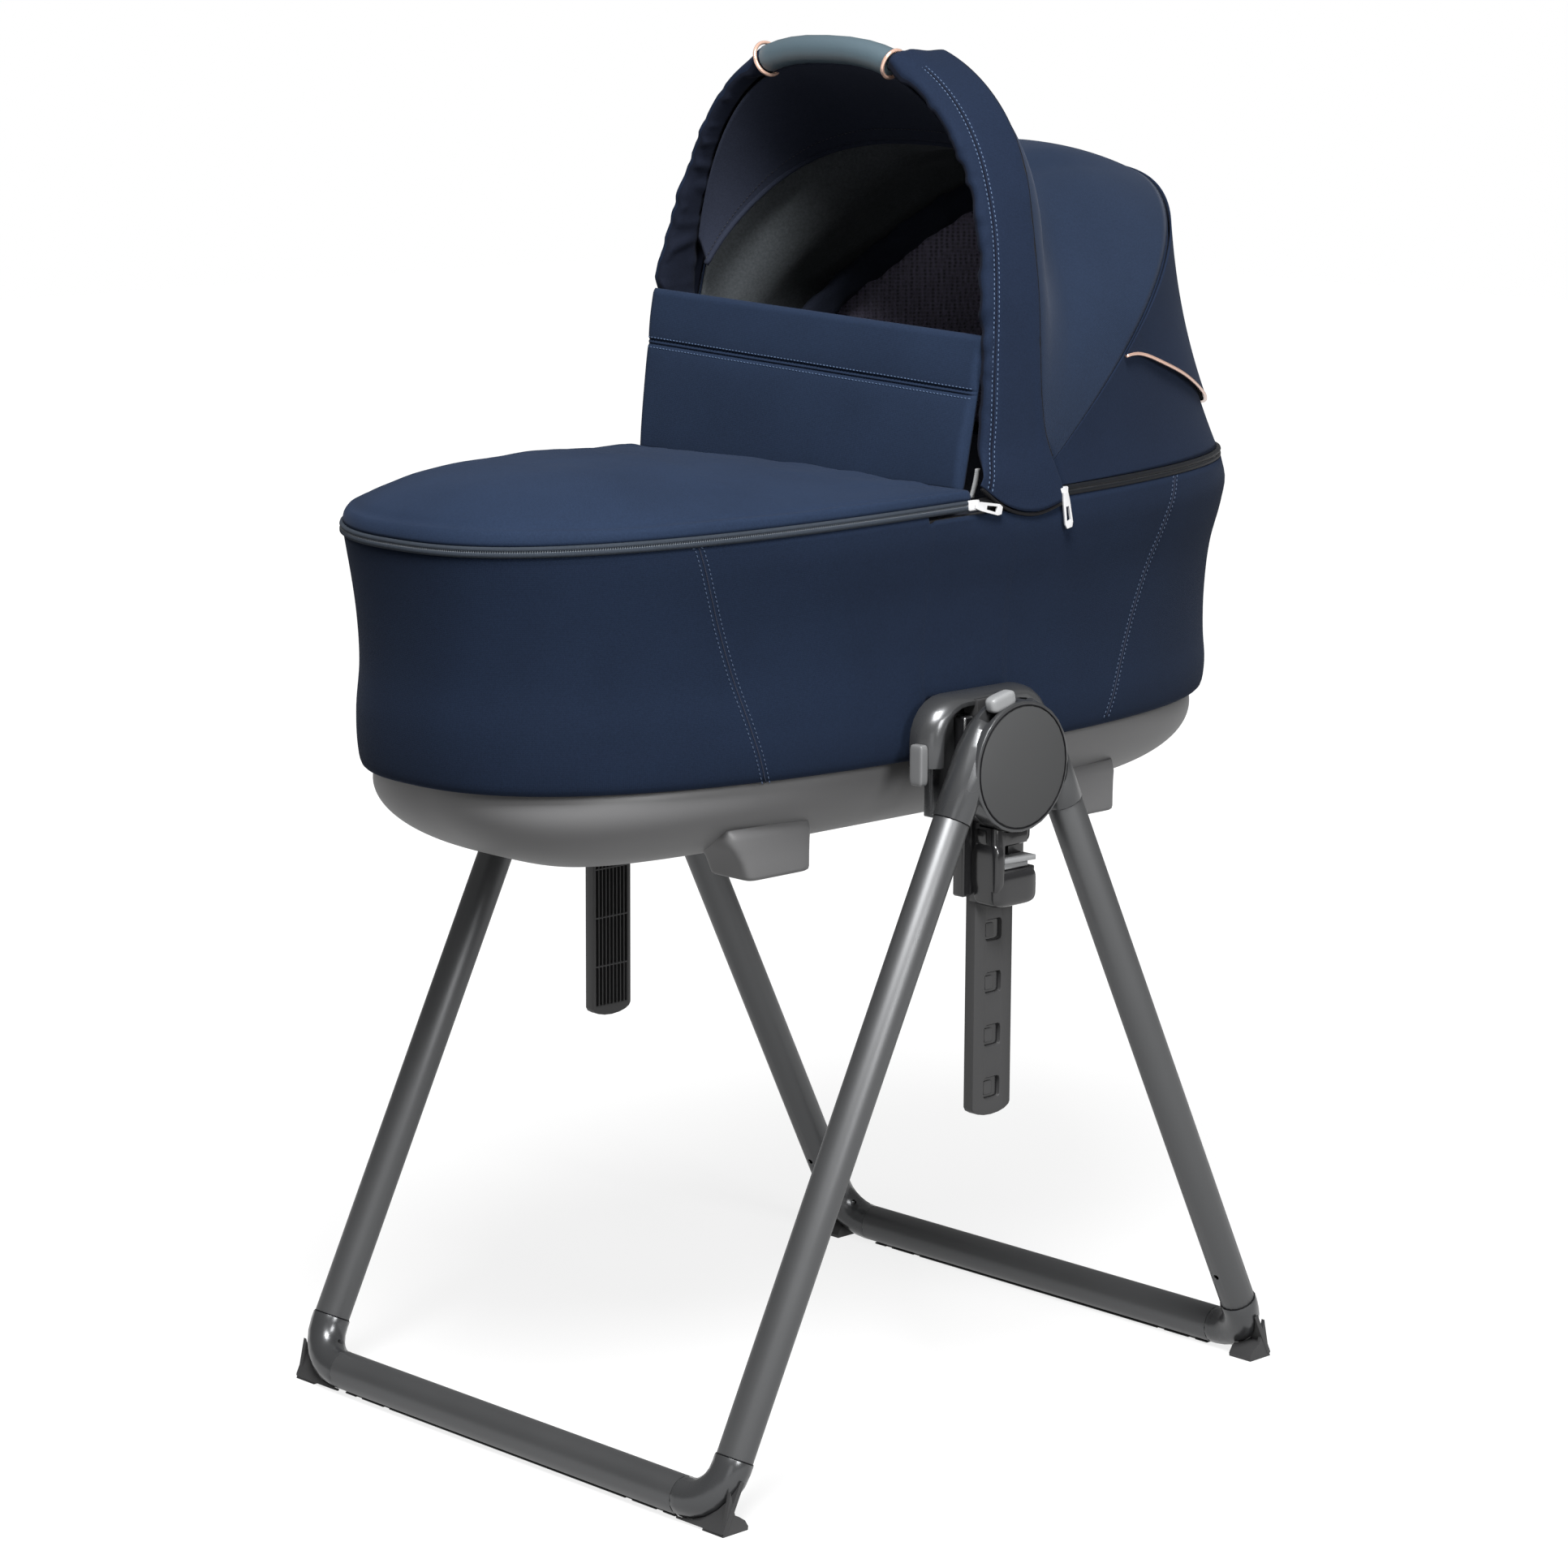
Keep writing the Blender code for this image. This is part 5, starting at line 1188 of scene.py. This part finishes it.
def sleeve_edge(low=0.030, high=0.350):
    """A line where the sleeve's rear edge lies on the canopy."""
    points = []
    for k, reach in enumerate(REACH):
        if low <= reach <= high:
            rear = float(through(reach, *SLEEVE_REAR))
            points.append(sleeve_place(k, rear + 0.0005, sleeve_limits(reach)[0] - 0.0028))
    return np.array(points)


def sleeve_line(shift, above, low=0.004, high=0.352):
    """A line along the sleeve's stitched seam, moved sideways by shift."""
    points, outs = [], []
    for k, reach in enumerate(REACH):
        if low <= reach <= high:
            front, rear = through(reach, *SLEEVE_FRONT), through(reach, *SLEEVE_REAR)
            at = through(reach, *SLEEVE_SEAM) + shift
            outer, inner = sleeve_limits(reach)
            c = min(abs((at - (front + rear) / 2) / ((rear - front) / 2)), 0.999)
            off = (outer + inner) / 2 + (outer - inner) / 2 * (1 - c**SLEEVE_POWER) ** (1 / SLEEVE_POWER)
            points.append(sleeve_place(k, at, off + above))
            outs.append(ACROSS[k])
    return np.array(points), np.array(outs)


sleeves = {"near": sleeve_grid(), "far": sleeve_grid(pushed=0.024)}
print("sleeve:", sleeves["near"].shape, "lowest", round(float(sleeves["near"][..., 2].min()), 4))

# %% [markdown]
# A metal-coloured ring closes each end of the grip, square to the bow. The near one sits tighter,
# half sunk in the sleeve's mouth.

# %% Rings at the grip
RING_RADII, RING_CORD_R, RING_STEP = {"near": 0.0118, "far": 0.0140}, 0.0016, 0.008
for hand, name in SIDES:
    t = math.pi / 2 - hand * (math.pi / 2 - GRIP_TURN + RING_STEP)
    here, there = bow_points(FRONT_BOW, np.array((t, t + 0.001)))
    along = (there - here) / np.linalg.norm(there - here)
    line = circle(here, RING_RADII[name], BOW_NORMAL, np.cross(along, BOW_NORMAL), 40)
    ring = cord("grip_band_" + name, line, RING_CORD_R, ROSE, sides=10, closed=True)
    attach(ring, "front_bow")
    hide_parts("grip_ring_" + name)
    made(ring)

# %% [markdown]
# The far sleeve is the near one mirrored, with its front edge pushed back by the wind flap's end.
# Its inner face is a greyer cloth, painted darker as shade. The seam has a sunk cord of that dark
# cloth, painted shade in its groove, and two rows of stitches, which on the far side start above the
# pushed part, and a thin black cord where the rear edge meets the canopy is that edge's painted shadow.

# %% Sleeves, seams and stitches
SEAM_FROM = {"near": 0.004, "far": 0.170}
SEAM_SIDE, EDGE_SHADOW_CORD_R = 0.0023, 0.0011
stitch_lines, seam_cords, edge_shadow_cords = [], [], []
for hand, name in ((-1, "far"), (1, "near")):
    mirror = (1, hand, 1)
    piece = grid_mesh("sleeve_" + name, sleeves[name] * mirror, SLEEVE_NAVY_SHADE, wrap_cols=True, cap_rows=True)
    # The inner half of each ring takes the greyer cloth, painted darker as shade.
    piece.data.materials.append(SLEEVE_INNER_GREY_SHADE)
    for face in piece.data.polygons:
        face.material_index = int(face.index % SLEEVE_AROUND >= SLEEVE_AROUND // 2)
    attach(piece, "front_bow")
    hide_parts("bow_sleeve_" + name)
    for shift in (-SEAM_SIDE, SEAM_SIDE):
        points, outs = sleeve_line(shift, 0.0002, low=SEAM_FROM[name])
        stitch_lines.append((evenly(points * mirror, 0.003), np.array(outs[len(outs) // 2]) * mirror))
    line = sleeve_line(0.0, -0.0003, low=SEAM_FROM[name])[0]
    seam_cords.append(cord("seam", line * mirror, SEAM_CORD_R, SLEEVE_INNER_GREY_SHADE, sides=6))
    # A black cord along the rear edge paints the shadow it casts on the canopy.
    edge_shadow_cords.append(cord("edge", sleeve_edge() * mirror, EDGE_SHADOW_CORD_R, BINDING, sides=6))
    made(piece)
sleeve_stitches = repeated("sleeve_stitches", stitch_lines, THREAD)
sleeve_seams, sleeve_edge_shadows = joined("sleeve_seams", seam_cords), joined("sleeve_edge_shadows", edge_shadow_cords)
for piece in (sleeve_stitches, sleeve_seams, sleeve_edge_shadows):
    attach(piece, "front_bow")

# %% [markdown]
# The canopy is one sheet stretched from the front bow's sleeves to the rear bow. Cloth pulled
# tight between two arches can't bulge: it runs straight from one to the other and sinks a little
# more, so the hood has a waist behind its front bow, here up to 76 mm deep. Rows of the grid turn
# from one bow to the other, and the dip pulls them in. A grey felt follows the cloth inside.

# %% Canopy
CANOPY_RISE = 0.0040
CANOPY_DIP = ((0, 0.12, 0.30, 0.50, 0.75, 1), (0, 0.0120, 0.0610, 0.0760, 0.0400, 0))
CLOTH_THICK, FELT_OUTER, FELT_INNER = 0.0020, -0.0032, -0.0046


def canopy_front(t):
    """Angle of the canopy's front edge: just under the sleeve's rear edge, and up to the grip."""
    reach = np.minimum(REAR_CLOTH[1] * np.sin(t) ** (2 / REAR_CLOTH[3]), 0.36)
    wide = FRONT_BOW[2] * np.abs(np.cos(t)) ** (2 / FRONT_BOW[3])
    behind = through(reach, *SLEEVE_REAR) - 0.0025
    behind = 0.0125 + (behind - 0.0125) * smoothstep(wide, 0.060, 0.090)
    return FRONT_BOW[0] + np.degrees(np.arctan2(behind, reach))


def canopy_grid(outward=0.0, rows=44, cols=150):
    start = t_at_reach(REAR_CLOTH, 0.038)
    t = np.linspace(start, math.pi - start, cols)
    reach = REAR_CLOTH[1] * np.sin(t) ** (2 / REAR_CLOTH[3])
    first = canopy_front(t)
    last = REAR_CLOTH[0] - np.degrees(0.0003 / reach)
    front_r, front_half = FRONT_BOW[1] + CANOPY_RISE, FRONT_BOW[2] + CANOPY_RISE
    grid = []
    for share in np.linspace(0, 1, rows):
        dip = through(share, *CANOPY_DIP) * smoothstep(reach, 0.05, 0.30)
        mixed = [
            first + (last - first) * share,
            front_r + (REAR_CLOTH[1] - front_r) * share - dip,
            front_half + (REAR_CLOTH[2] - front_half) * share - 0.45 * dip,
            FRONT_BOW[3] + (REAR_CLOTH[3] - FRONT_BOW[3]) * share,
        ]
        grid.append(bow_points(mixed, t, outward))
    return np.array(grid)


canopy_outer = canopy_grid()
canopy = sheet_mesh("canopy_cloth", canopy_outer, canopy_grid(-CLOTH_THICK), HOOD_NAVY_SHADE)
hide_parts("canopy")
felt_outer = canopy_grid(FELT_OUTER, rows=30, cols=110)
felt = sheet_mesh("canopy_felt", felt_outer, canopy_grid(FELT_INNER, rows=30, cols=110), FELT)
made(canopy, felt)

# %% [markdown]
# A short navy lining hangs from the canopy's front edge and ends in an arched hem, rolled round a
# cord, with one row of dark stitches above it.

# %% Hood lining
LINING_START, LINING_R, LINING_HALF = 0.470, 0.3395, 0.1895
LINING_HEM_R, LINING_HEM_HALF, LINING_HEM_EXPONENT = 0.283, 0.1810, 2.9


def lining_grid(rows=24, cols=110):
    """Lining from the canopy's front edge to the arched hem."""
    t = np.linspace(LINING_START, math.pi - LINING_START, cols)
    hem_angle = 16.6 - 14.6 * np.cos(t) ** 2 - 18.0 * np.cos(t) ** 8
    reach = LINING_R * np.sin(t) ** (2 / FRONT_BOW[3])
    first = np.minimum(FRONT_BOW[0] + np.degrees(np.arctan2(0.004, reach)), hem_angle - 0.4)
    grid = []
    for share in np.linspace(0, 1, rows):
        bag = 0.002 * math.sin(math.pi * share)
        mixed = [
            first + (hem_angle - first) * share,
            LINING_R + (LINING_HEM_R - LINING_R) * share + bag,
            LINING_HALF + (LINING_HEM_HALF - LINING_HALF) * share,
            FRONT_BOW[3] + (LINING_HEM_EXPONENT - FRONT_BOW[3]) * share,
        ]
        grid.append(bow_points(mixed, t))
    return np.array(grid)


lining_outer = lining_grid()
lining_outer += unevenness(lining_outer, 22.0, 4.0)[..., None] * 0.0010 * (0.5, 0, 1)
lining = sheet_mesh("hood_lining", lining_outer, lining_outer - (0.0004, 0, 0.0014), NAVY_DARK)
hem_points = lining_outer[-1]
hem = cord("hood_lining_hem", evenly(hem_points - (0, 0, 0.0006), 0.004), 0.0026, NAVY_DARK)
stitch_row = lining_outer[-4] - (0.0006, 0, 0.0018)
hem_stitches = repeated("hood_lining_stitches", [(stitch_row, (-0.2, 0, -1))], DARK_THREAD)
made(lining, hem)

# %% [markdown]
# Behind the rear bow the hood closes with one panel down to the rim, which sinks a little between
# them. Inside hangs a dark net in loose folds. Every point of the panel lies on a straight line
# from the bow to the rim and is then moved inward, so both its edges fit their neighbours.

# %% Hood back and its net
BACK_START, BACK_HALF_TURN, BACK_SINK = 0.038, 81.5, -0.012
NET_GAP, NET_THICK, NET_FOLDS = 0.0034, 0.0012, 0.0040
HOOD_MIDDLE = np.array((0.16, 0.0, 0.86))


def back_points(t, share, outward=0.0):
    """Points of the hood's back, from the rear bow (share 0) down to the rim (share 1)."""
    top = bow_points((REAR_CLOTH[0] + 0.1, *REAR_CLOTH[1:]), t)
    start = t_at_reach(REAR_CLOTH, BACK_START)
    turn = (t - start) / (math.pi - 2 * start)
    a = math.radians(BACK_HALF_TURN) * (1 - 2 * turn)
    x, y = rim_xy(a, 0.001)
    foot = np.stack([x, y, rim_height(x) + 0.0042], -1)
    share = np.asarray(share)[..., None]
    point = top + (foot - top) * share
    away = np.stack([point[..., 0] - 0.10, point[..., 1] * 1.1, (point[..., 2] - 0.70) * 0.6], -1)
    away /= np.linalg.norm(away, axis=-1, keepdims=True)
    sink = BACK_SINK * 4 * share * (1 - share) * (np.sin(t) ** 1.5)[..., None]
    return point + away * (sink + np.asarray(outward)[..., None])


def back_grid(outward, rows=40, cols=150):
    start = t_at_reach(REAR_CLOTH, BACK_START)
    t = np.linspace(start, math.pi - start, cols)[None, :] + np.zeros((rows, 1))
    share = np.linspace(0.004, 1, rows)[:, None] + np.zeros((1, cols))
    return back_points(t, share, np.full_like(t, outward))


back_outer = back_grid(0.0)
back = sheet_mesh("hood_back", back_outer, back_grid(-CLOTH_THICK), SLEEVE_NAVY_SHADE)
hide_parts("back_panel")
mesh_outer = back_grid(-NET_GAP, rows=34, cols=110)
folds = unevenness(mesh_outer, 1.0, 2.0, stretch=(10, 26, 10)) * NET_FOLDS + NET_FOLDS
inner_way = HOOD_MIDDLE - mesh_outer
inner_way /= np.linalg.norm(inner_way, axis=-1, keepdims=True)
mesh_outer += inner_way * folds[..., None] * np.sin(np.linspace(0, math.pi, 34))[:, None, None]
mesh_lining = sheet_mesh("hood_back_mesh", mesh_outer, mesh_outer + inner_way * NET_THICK, MESH)
made(back, mesh_lining)

# %% [markdown]
# Outside the panel hangs a vent flap, sewn on under the rear bow. Its rounded lower edge stands
# off the panel and is trimmed with a thin metal-coloured piping. It is a grid on the panel's own
# surface: a curve gives how far down it reaches, and another how far it stands off.

# %% Vent flap
VENT_TURNS = (0, 0.1314, 0.2739, 0.4451, 0.6401, 0.8586, 1.0352, 1.1615, 1.206)
VENT_SHARES = (0.9017, 0.892, 0.870, 0.827, 0.745, 0.583, 0.355, 0.102, 0.020)
VENT_STANDS = (0.0310, 0.0220, 0.0127, 0.0061, 0.0043, 0.0058, 0.0048, 0.0022, 0.0022)
VENT_TOP_SHARE, VENT_TOP_STAND, VENT_THICK, PIPING_R = 0.006, 0.0022, 0.0016, 0.0016


def vent_grid(above, rows=34, cols=140):
    edge = VENT_TURNS[-1]
    t = np.linspace(math.pi / 2 - edge, math.pi / 2 + edge, cols)[None, :] + np.zeros((rows, 1))
    turn = np.abs(t - math.pi / 2)
    down = np.linspace(0, 1, rows)[:, None]
    share = VENT_TOP_SHARE + (through(turn, VENT_TURNS, VENT_SHARES) - VENT_TOP_SHARE) * down
    stand = VENT_TOP_STAND + (through(turn, VENT_TURNS, VENT_STANDS) - VENT_TOP_STAND) * down**1.6
    return back_points(t, share, stand + above)


vent_outer = vent_grid(VENT_THICK)
vent = sheet_mesh("vent_flap_cloth", vent_outer, vent_grid(0.0), SLEEVE_NAVY_SHADE)
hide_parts("vent_flap")
trim = cord("vent_flap_piping", evenly(vent_grid(VENT_THICK / 2)[-1], 0.003), PIPING_R, ROSE)
made(vent, trim)

# %% [markdown]
# Inside the hood a gathered casing hides the rear bow. It is a tube of cloth round the bow's line
# whose width and thickness wander, so that it looks drawn up on the bow.

# %% Casing of the rear bow
CASING_WIDE, CASING_THICK, CASING_CRUMPLE = 0.0135, 0.0080, 0.0026
CASING_BEHIND, CASING_INSIDE = 0.002, 0.0105


def casing_grid(stations=170, around=28):
    """Rings round the rear bow, just inside it."""
    start = t_at_reach(REAR_BOW, 0.060)
    points = evenly(bow_points(REAR_BOW, np.linspace(start, math.pi - start, 2000)), 0.001)
    at = np.linspace(0, len(points) - 1, stations).round().astype(int)
    tilt = math.radians(REAR_BOW[0])
    normal = np.array((math.cos(tilt), 0, -math.sin(tilt)))
    tangents = np.gradient(points, axis=0)
    rows = []
    for k in at:
        tangent = tangents[k] / np.linalg.norm(tangents[k])
        across = np.cross(normal, tangent)
        across *= 1 if across @ (points[k] - PIVOT) > 0 else -1
        row = []
        for j in range(around):
            angle = math.tau * j / around
            place = Vector((k * 0.055, math.cos(angle), math.sin(angle)))
            crumple = CASING_CRUMPLE * noise.noise(place)
            wide, thick = CASING_WIDE + crumple * 1.6, CASING_THICK + crumple
            row.append(points[k] + normal * (wide * math.cos(angle) - CASING_BEHIND)
                       + across * (thick * math.sin(angle) - CASING_INSIDE))
        rows.append(row)
    return np.array(rows)


casing = grid_mesh("rear_bow_casing", casing_grid(), NAVY_DARK, wrap_cols=True, cap_rows=True)
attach(casing, "rear_bow")
made(casing)

# %% [markdown]
# The zip runs round the rim: a ribbed tape with two rows of small teeth in its middle, from
# slider to slider round the foot end and again, in black, round the head end. The tape is one
# section carried along the rim, and the teeth are beads of the same group as the stitches.

# %% Zip
ZIP_FRONT_X, ZIP_REAR_X = -0.0040, 0.1000
TEETH_PITCH, TEETH_SIZE, TEETH_INSET, TEETH_ROW = 0.0019, (0.0011, 0.0011, 0.0011), -0.0019, 0.00055
TAPE_SECTION = ((-0.0010, 0.0038), (-0.0024, 0.0031), (-0.0028, 0.0018), (-0.0023, 0.0006),
                (-0.0018, 0.0004), (-0.0018, -0.0004), (-0.0023, -0.0006), (-0.0028, -0.0018),
                (-0.0028, -0.0034), (-0.0012, -0.0046), (0.0024, -0.0044), (0.0024, 0.0036))
BINDING_SECTION = ((-0.0008, 0.0040), (-0.0022, 0.0030), (-0.0028, 0.0), (-0.0022, -0.0036),
                   (-0.0008, -0.0046), (0.0024, -0.0044), (0.0024, 0.0036))


def rim_strip(name, section, start, end, material, step=0.004):
    """A strip of constant section along the rim between two angles."""
    length = even_angles(2, start, end)[1]
    a = even_angles(max(8, int(length / step)), start, end)[0]
    rows = []
    for inset, above in section:
        x, y = rim_xy(a, inset)
        rows.append(np.stack([x, y, rim_height(x) + above], -1))
    return grid_mesh(name, np.array(rows).transpose(1, 0, 2), material, wrap_cols=True, cap_rows=True)


def rim_line(inset, above, start, end):
    """A line along the rim between two angles, with its outward directions."""
    a = even_angles(600, start, end)[0]
    x, y = rim_xy(a, inset)
    x2, y2 = rim_xy(a, inset - 0.01)
    out = np.stack([x2 - x, y2 - y, 0 * x], -1)
    return np.stack([x, y, rim_height(x) + above], -1), out / np.linalg.norm(out, axis=1, keepdims=True)


front_a, rear_a = -float(rim_angle(ZIP_FRONT_X)), -float(rim_angle(ZIP_REAR_X))
spans = ((front_a, math.tau - front_a), (-rear_a, rear_a))
zips = []
finishes = (("foot", TAPE, TEETH), ("head", HEAD_TAPE, DARK_TEETH))
for (start, end), (where, tape_finish, teeth_finish) in zip(spans, finishes):
    tape = rim_strip("zip_tape_" + where, TAPE_SECTION, start, end, tape_finish)
    upper = rim_line(TEETH_INSET, TEETH_ROW, start, end)
    lower = rim_line(TEETH_INSET, -TEETH_ROW, start + 0.0022, end)
    teeth = repeated("zip_teeth_" + where, [upper, lower], teeth_finish, TEETH_PITCH, TEETH_SIZE)
    zips += [tape, teeth]
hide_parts("zip_band")
made(zips[0], zips[2])

# %% [markdown]
# Between the sliders a black binding covers the rim. Under each sleeve's foot a black edge cord
# follows the curve in which the sleeve ends; on the far side the pushed sleeve leaves less room.

# %% Binding at the hood's hinges
EDGE_Y, EDGE_R, EDGE_POINTS, EDGE_END_X = 0.2104, 0.0014, 60, 0.1060
EDGE_CURVE = ((0.0038, 0.0313, 0.0648, 0.1069), (0.7765, 0.7590, 0.7508, 0.7585))
bindings = []
for hand, first_x in ((1, 0.0130), (-1, 0.0045)):
    span = sorted((hand * rear_a, hand * front_a))
    bindings.append(rim_strip("binding", BINDING_SECTION, *span, BINDING))
    x = np.linspace(first_x, EDGE_END_X, EDGE_POINTS)
    line = np.stack([x, np.full(EDGE_POINTS, hand * EDGE_Y), through(x, *EDGE_CURVE)], -1)
    bindings.append(cord("edge", line, EDGE_R, BINDING))
binding = joined("rim_binding", bindings)
made(binding)
for piece in (*zips, binding):
    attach(piece, "bassinet")

# %% [markdown]
# Inside lie a quilted lining round the wall and a mattress. The lining is quilted in four bands,
# and the mattress is thick in the middle while its sides are pulled in at the seam, the way a
# stuffed pad always is.

# %% Inner lining and mattress
WALL_FOOT_Z, WALL_TOP_GAP, WALL_OUTER, WALL_TOP, WALL_INNER = 0.572, 0.0045, 0.0245, 0.0275, 0.0305
WALL_BANDS, WALL_PUFF, WALL_AROUND = 4, 0.0016, 240
PAD_Z, PAD_HALF_Z, PAD_INSET, PAD_ROWS = 0.5625, 0.0215, 0.0355, 27


def wall_ring(inset, z_share):
    x, y = rim_xy(even_angles(WALL_AROUND + 1)[0][:-1], inset)
    top = rim_height(x) - WALL_TOP_GAP
    return np.stack([x, y, WALL_FOOT_Z + (top - WALL_FOOT_Z) * z_share], -1)


def wall_grid():
    """Rows up the outer face and down the quilted inner one."""
    rows = [wall_ring(WALL_OUTER, s) for s in np.linspace(0.0, 1.0, 12)] + [wall_ring(WALL_TOP, 1.0)]
    for s in np.linspace(0.985, 0.015, 40):
        rows.append(wall_ring(WALL_INNER + WALL_PUFF * abs(math.sin(s * math.pi * WALL_BANDS)), s))
    return np.array(rows)


def pad_grid():
    """Rings from the pad's underside to its top. The first and last close to near a point."""
    x, y = rim_xy(even_angles(WALL_AROUND + 1)[0][:-1], PAD_INSET)
    rows = []
    for k in range(PAD_ROWS):
        angle = math.radians(-90 + 180 * k / (PAD_ROWS - 1))
        side_out = math.copysign(abs(math.cos(angle)) ** 0.45, math.cos(angle))
        scale = max(side_out, 0.02) if k not in (0, PAD_ROWS - 1) else 0.02
        z = PAD_Z + PAD_HALF_Z * math.copysign(abs(math.sin(angle)) ** 0.7, math.sin(angle))
        rows.append(np.stack([RIM_X + (x - RIM_X) * scale, y * scale, np.full(WALL_AROUND, z)], -1))
    return np.array(rows)


wall = grid_mesh("inner_lining", wall_grid(), LINING, wrap_rows=True, wrap_cols=True)
mattress = grid_mesh("mattress_pad", pad_grid(), WHITE_CLOTH, wrap_cols=True, cap_rows=True)
for piece, node in ((wall, "liner"), (mattress, "mattress")):
    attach(piece, "bassinet")
    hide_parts(node)
made(wall, mattress)

# %% [markdown]
# The hood's sheets cross the bows' joints. For each one the width it was cut to is measured along
# its own rows and columns, and its mesh is baked into world place.


for obj, outer, held in (
    (canopy, canopy_outer, "stretched"), (felt, felt_outer, "stretched"), (lining, lining_outer, "hung"),
    (back, back_outer, "stretched"), (mesh_lining, mesh_outer, "hung"), (vent, vent_outer, "hung"),
):
    width = float(np.linalg.norm(np.diff(outer, axis=1), axis=2).sum(1).max())
for piece in (canopy, felt, lining, hem, hem_stitches):
    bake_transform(piece)
for piece in (back, mesh_lining, vent, trim):
    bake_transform(piece)

# %% [markdown]
# The camera stands where the photographer's did, a little above the bassinet and toward its foot
# end. Its place, turn and lens were solved from the stand's straight tubes and its bars.

# %% Camera
LENS, SENSOR, FAR_CLIP = 104.72, 36.0, 60
AZIMUTH, ELEVATION, ROLL = math.radians(-44.1408), math.radians(11.0831), math.radians(0.29287)
CAMERA_X, CAMERA_Y, CAMERA_Z = -2.63024, -2.67869, 1.24075
camera = link(bpy.data.objects.new("camera", bpy.data.cameras.new("camera")))
camera.data.lens, camera.data.sensor_width, camera.data.clip_end = LENS, SENSOR, FAR_CLIP
back_way = Vector((
    math.sin(AZIMUTH) * math.cos(ELEVATION),
    -math.cos(AZIMUTH) * math.cos(ELEVATION),
    math.sin(ELEVATION),
))
right = (-back_way).cross(Vector((0, 0, 1))).normalized()
up = right.cross(-back_way)
turned_right = right * math.cos(ROLL) + up * math.sin(ROLL)
turned_up = -right * math.sin(ROLL) + up * math.cos(ROLL)
camera.matrix_world = Matrix((
    (turned_right.x, turned_up.x, back_way.x, CAMERA_X),
    (turned_right.y, turned_up.y, back_way.y, CAMERA_Y),
    (turned_right.z, turned_up.z, back_way.z, CAMERA_Z),
    (0, 0, 0, 1),
))
bpy.context.scene.camera = camera
print("camera at", [round(x, 2) for x in camera.matrix_world.translation])

# %% [markdown]
# The photo is a catalogue picture on white. The floor takes soft shadows close to the feet. For
# camera rays it also glows, a little brighter with distance, so that no horizon shows, and glossy
# rays see most of that glow, so that metal reflects a pale room.

# %% Floor
FLOOR_HALF_SIZE, FLOOR_TONE, GLOSSY_FLOOR = 9, 0.18, 0.80
GLOW = {"From Min": 0.5, "From Max": 2.2, "To Min": 0.82, "To Max": 1.0}
corners = [(x * FLOOR_HALF_SIZE, y * FLOOR_HALF_SIZE, 0) for x, y in ((-1, -1), (1, -1), (1, 1), (-1, 1))]
floor_mesh = bpy.data.meshes.new("floor")
floor_mesh.from_pydata(corners, [], [(0, 1, 2, 3)])
floor = link(bpy.data.objects.new("floor", floor_mesh))
material, nodes, links, shader = new_material("paper floor")
shader.inputs["Base Color"].default_value = (FLOOR_TONE, FLOOR_TONE, FLOOR_TONE, 1)
shader.inputs["Roughness"].default_value = 0.9
place = nodes.new("ShaderNodeTexCoord").outputs["Object"]
far = add(nodes, "ShaderNodeVectorMath", operation="LENGTH")
links.new(place, far.inputs[0])
glow = nodes.new("ShaderNodeMapRange")
for socket, value in GLOW.items():
    glow.inputs[socket].default_value = value
links.new(far.outputs["Value"], glow.inputs["Value"])
rays = nodes.new("ShaderNodeLightPath").outputs
seen = math_node(nodes, links, "MULTIPLY", rays["Is Glossy Ray"], GLOSSY_FLOOR)
seen = math_node(nodes, links, "MAXIMUM", rays["Is Camera Ray"], seen)
strength = math_node(nodes, links, "MULTIPLY", seen, glow.outputs["Result"])
shader.inputs["Emission Color"].default_value = (1, 1, 1, 1)
links.new(strength, shader.inputs["Emission Strength"])
floor_mesh.materials.append(material)
made(floor)

# %% [markdown]
# The room is white to the camera and only a dim, even light on the object. Glossy rays see it at
# a strength between the two.

# %% Room
AMBIENT, GLOSSY_ROOM = 0.125, 0.26
world = bpy.data.worlds.new("studio")
bpy.context.scene.world = world
world.use_nodes = True
nodes, links = world.node_tree.nodes, world.node_tree.links
ground = nodes["Background"]
ground.inputs["Color"].default_value = (1, 1, 1, 1)
rays = nodes.new("ShaderNodeLightPath").outputs
glossy = math_node(nodes, links, "MULTIPLY", rays["Is Glossy Ray"], GLOSSY_ROOM)
glossy = math_node(nodes, links, "MAXIMUM", glossy, AMBIENT)
links.new(math_node(nodes, links, "MAXIMUM", rays["Is Camera Ray"], glossy), ground.inputs["Strength"])
print("room light:", AMBIENT)

# %% [markdown]
# Three square lamps light the object. A large one high on the near side makes the apron brightest
# and leaves the undersides dark, a weak one low at the foot end opens the shadows, and one level
# with the hood lights its side. Each lamp is turned from its place to its target.

# %% Lamps
LAMPS = (
    ("key", (-1.7, -1.75, 3.9), (0, 0, 0.6), 1.5, 290),
    ("low fill", (-3.2, -3.0, 0.9), (0, 0, 0.5), 1.4, 8),
    ("hood light", (-0.7, -3.6, 2.0), (0.1, 0, 0.95), 1.2, 85),
)
for name, place, target, size, power in LAMPS:
    data = bpy.data.lights.new(name, "AREA")
    data.shape, data.size, data.energy = "SQUARE", size, power
    lamp = link(bpy.data.objects.new(name, data))
    lamp.location = place
    lamp.rotation_euler = (Vector(place) - Vector(target)).to_track_quat("Z", "Y").to_euler()
    print(name, "lamp,", power, "W")
bpy.context.scene.view_settings.view_transform = "Standard"
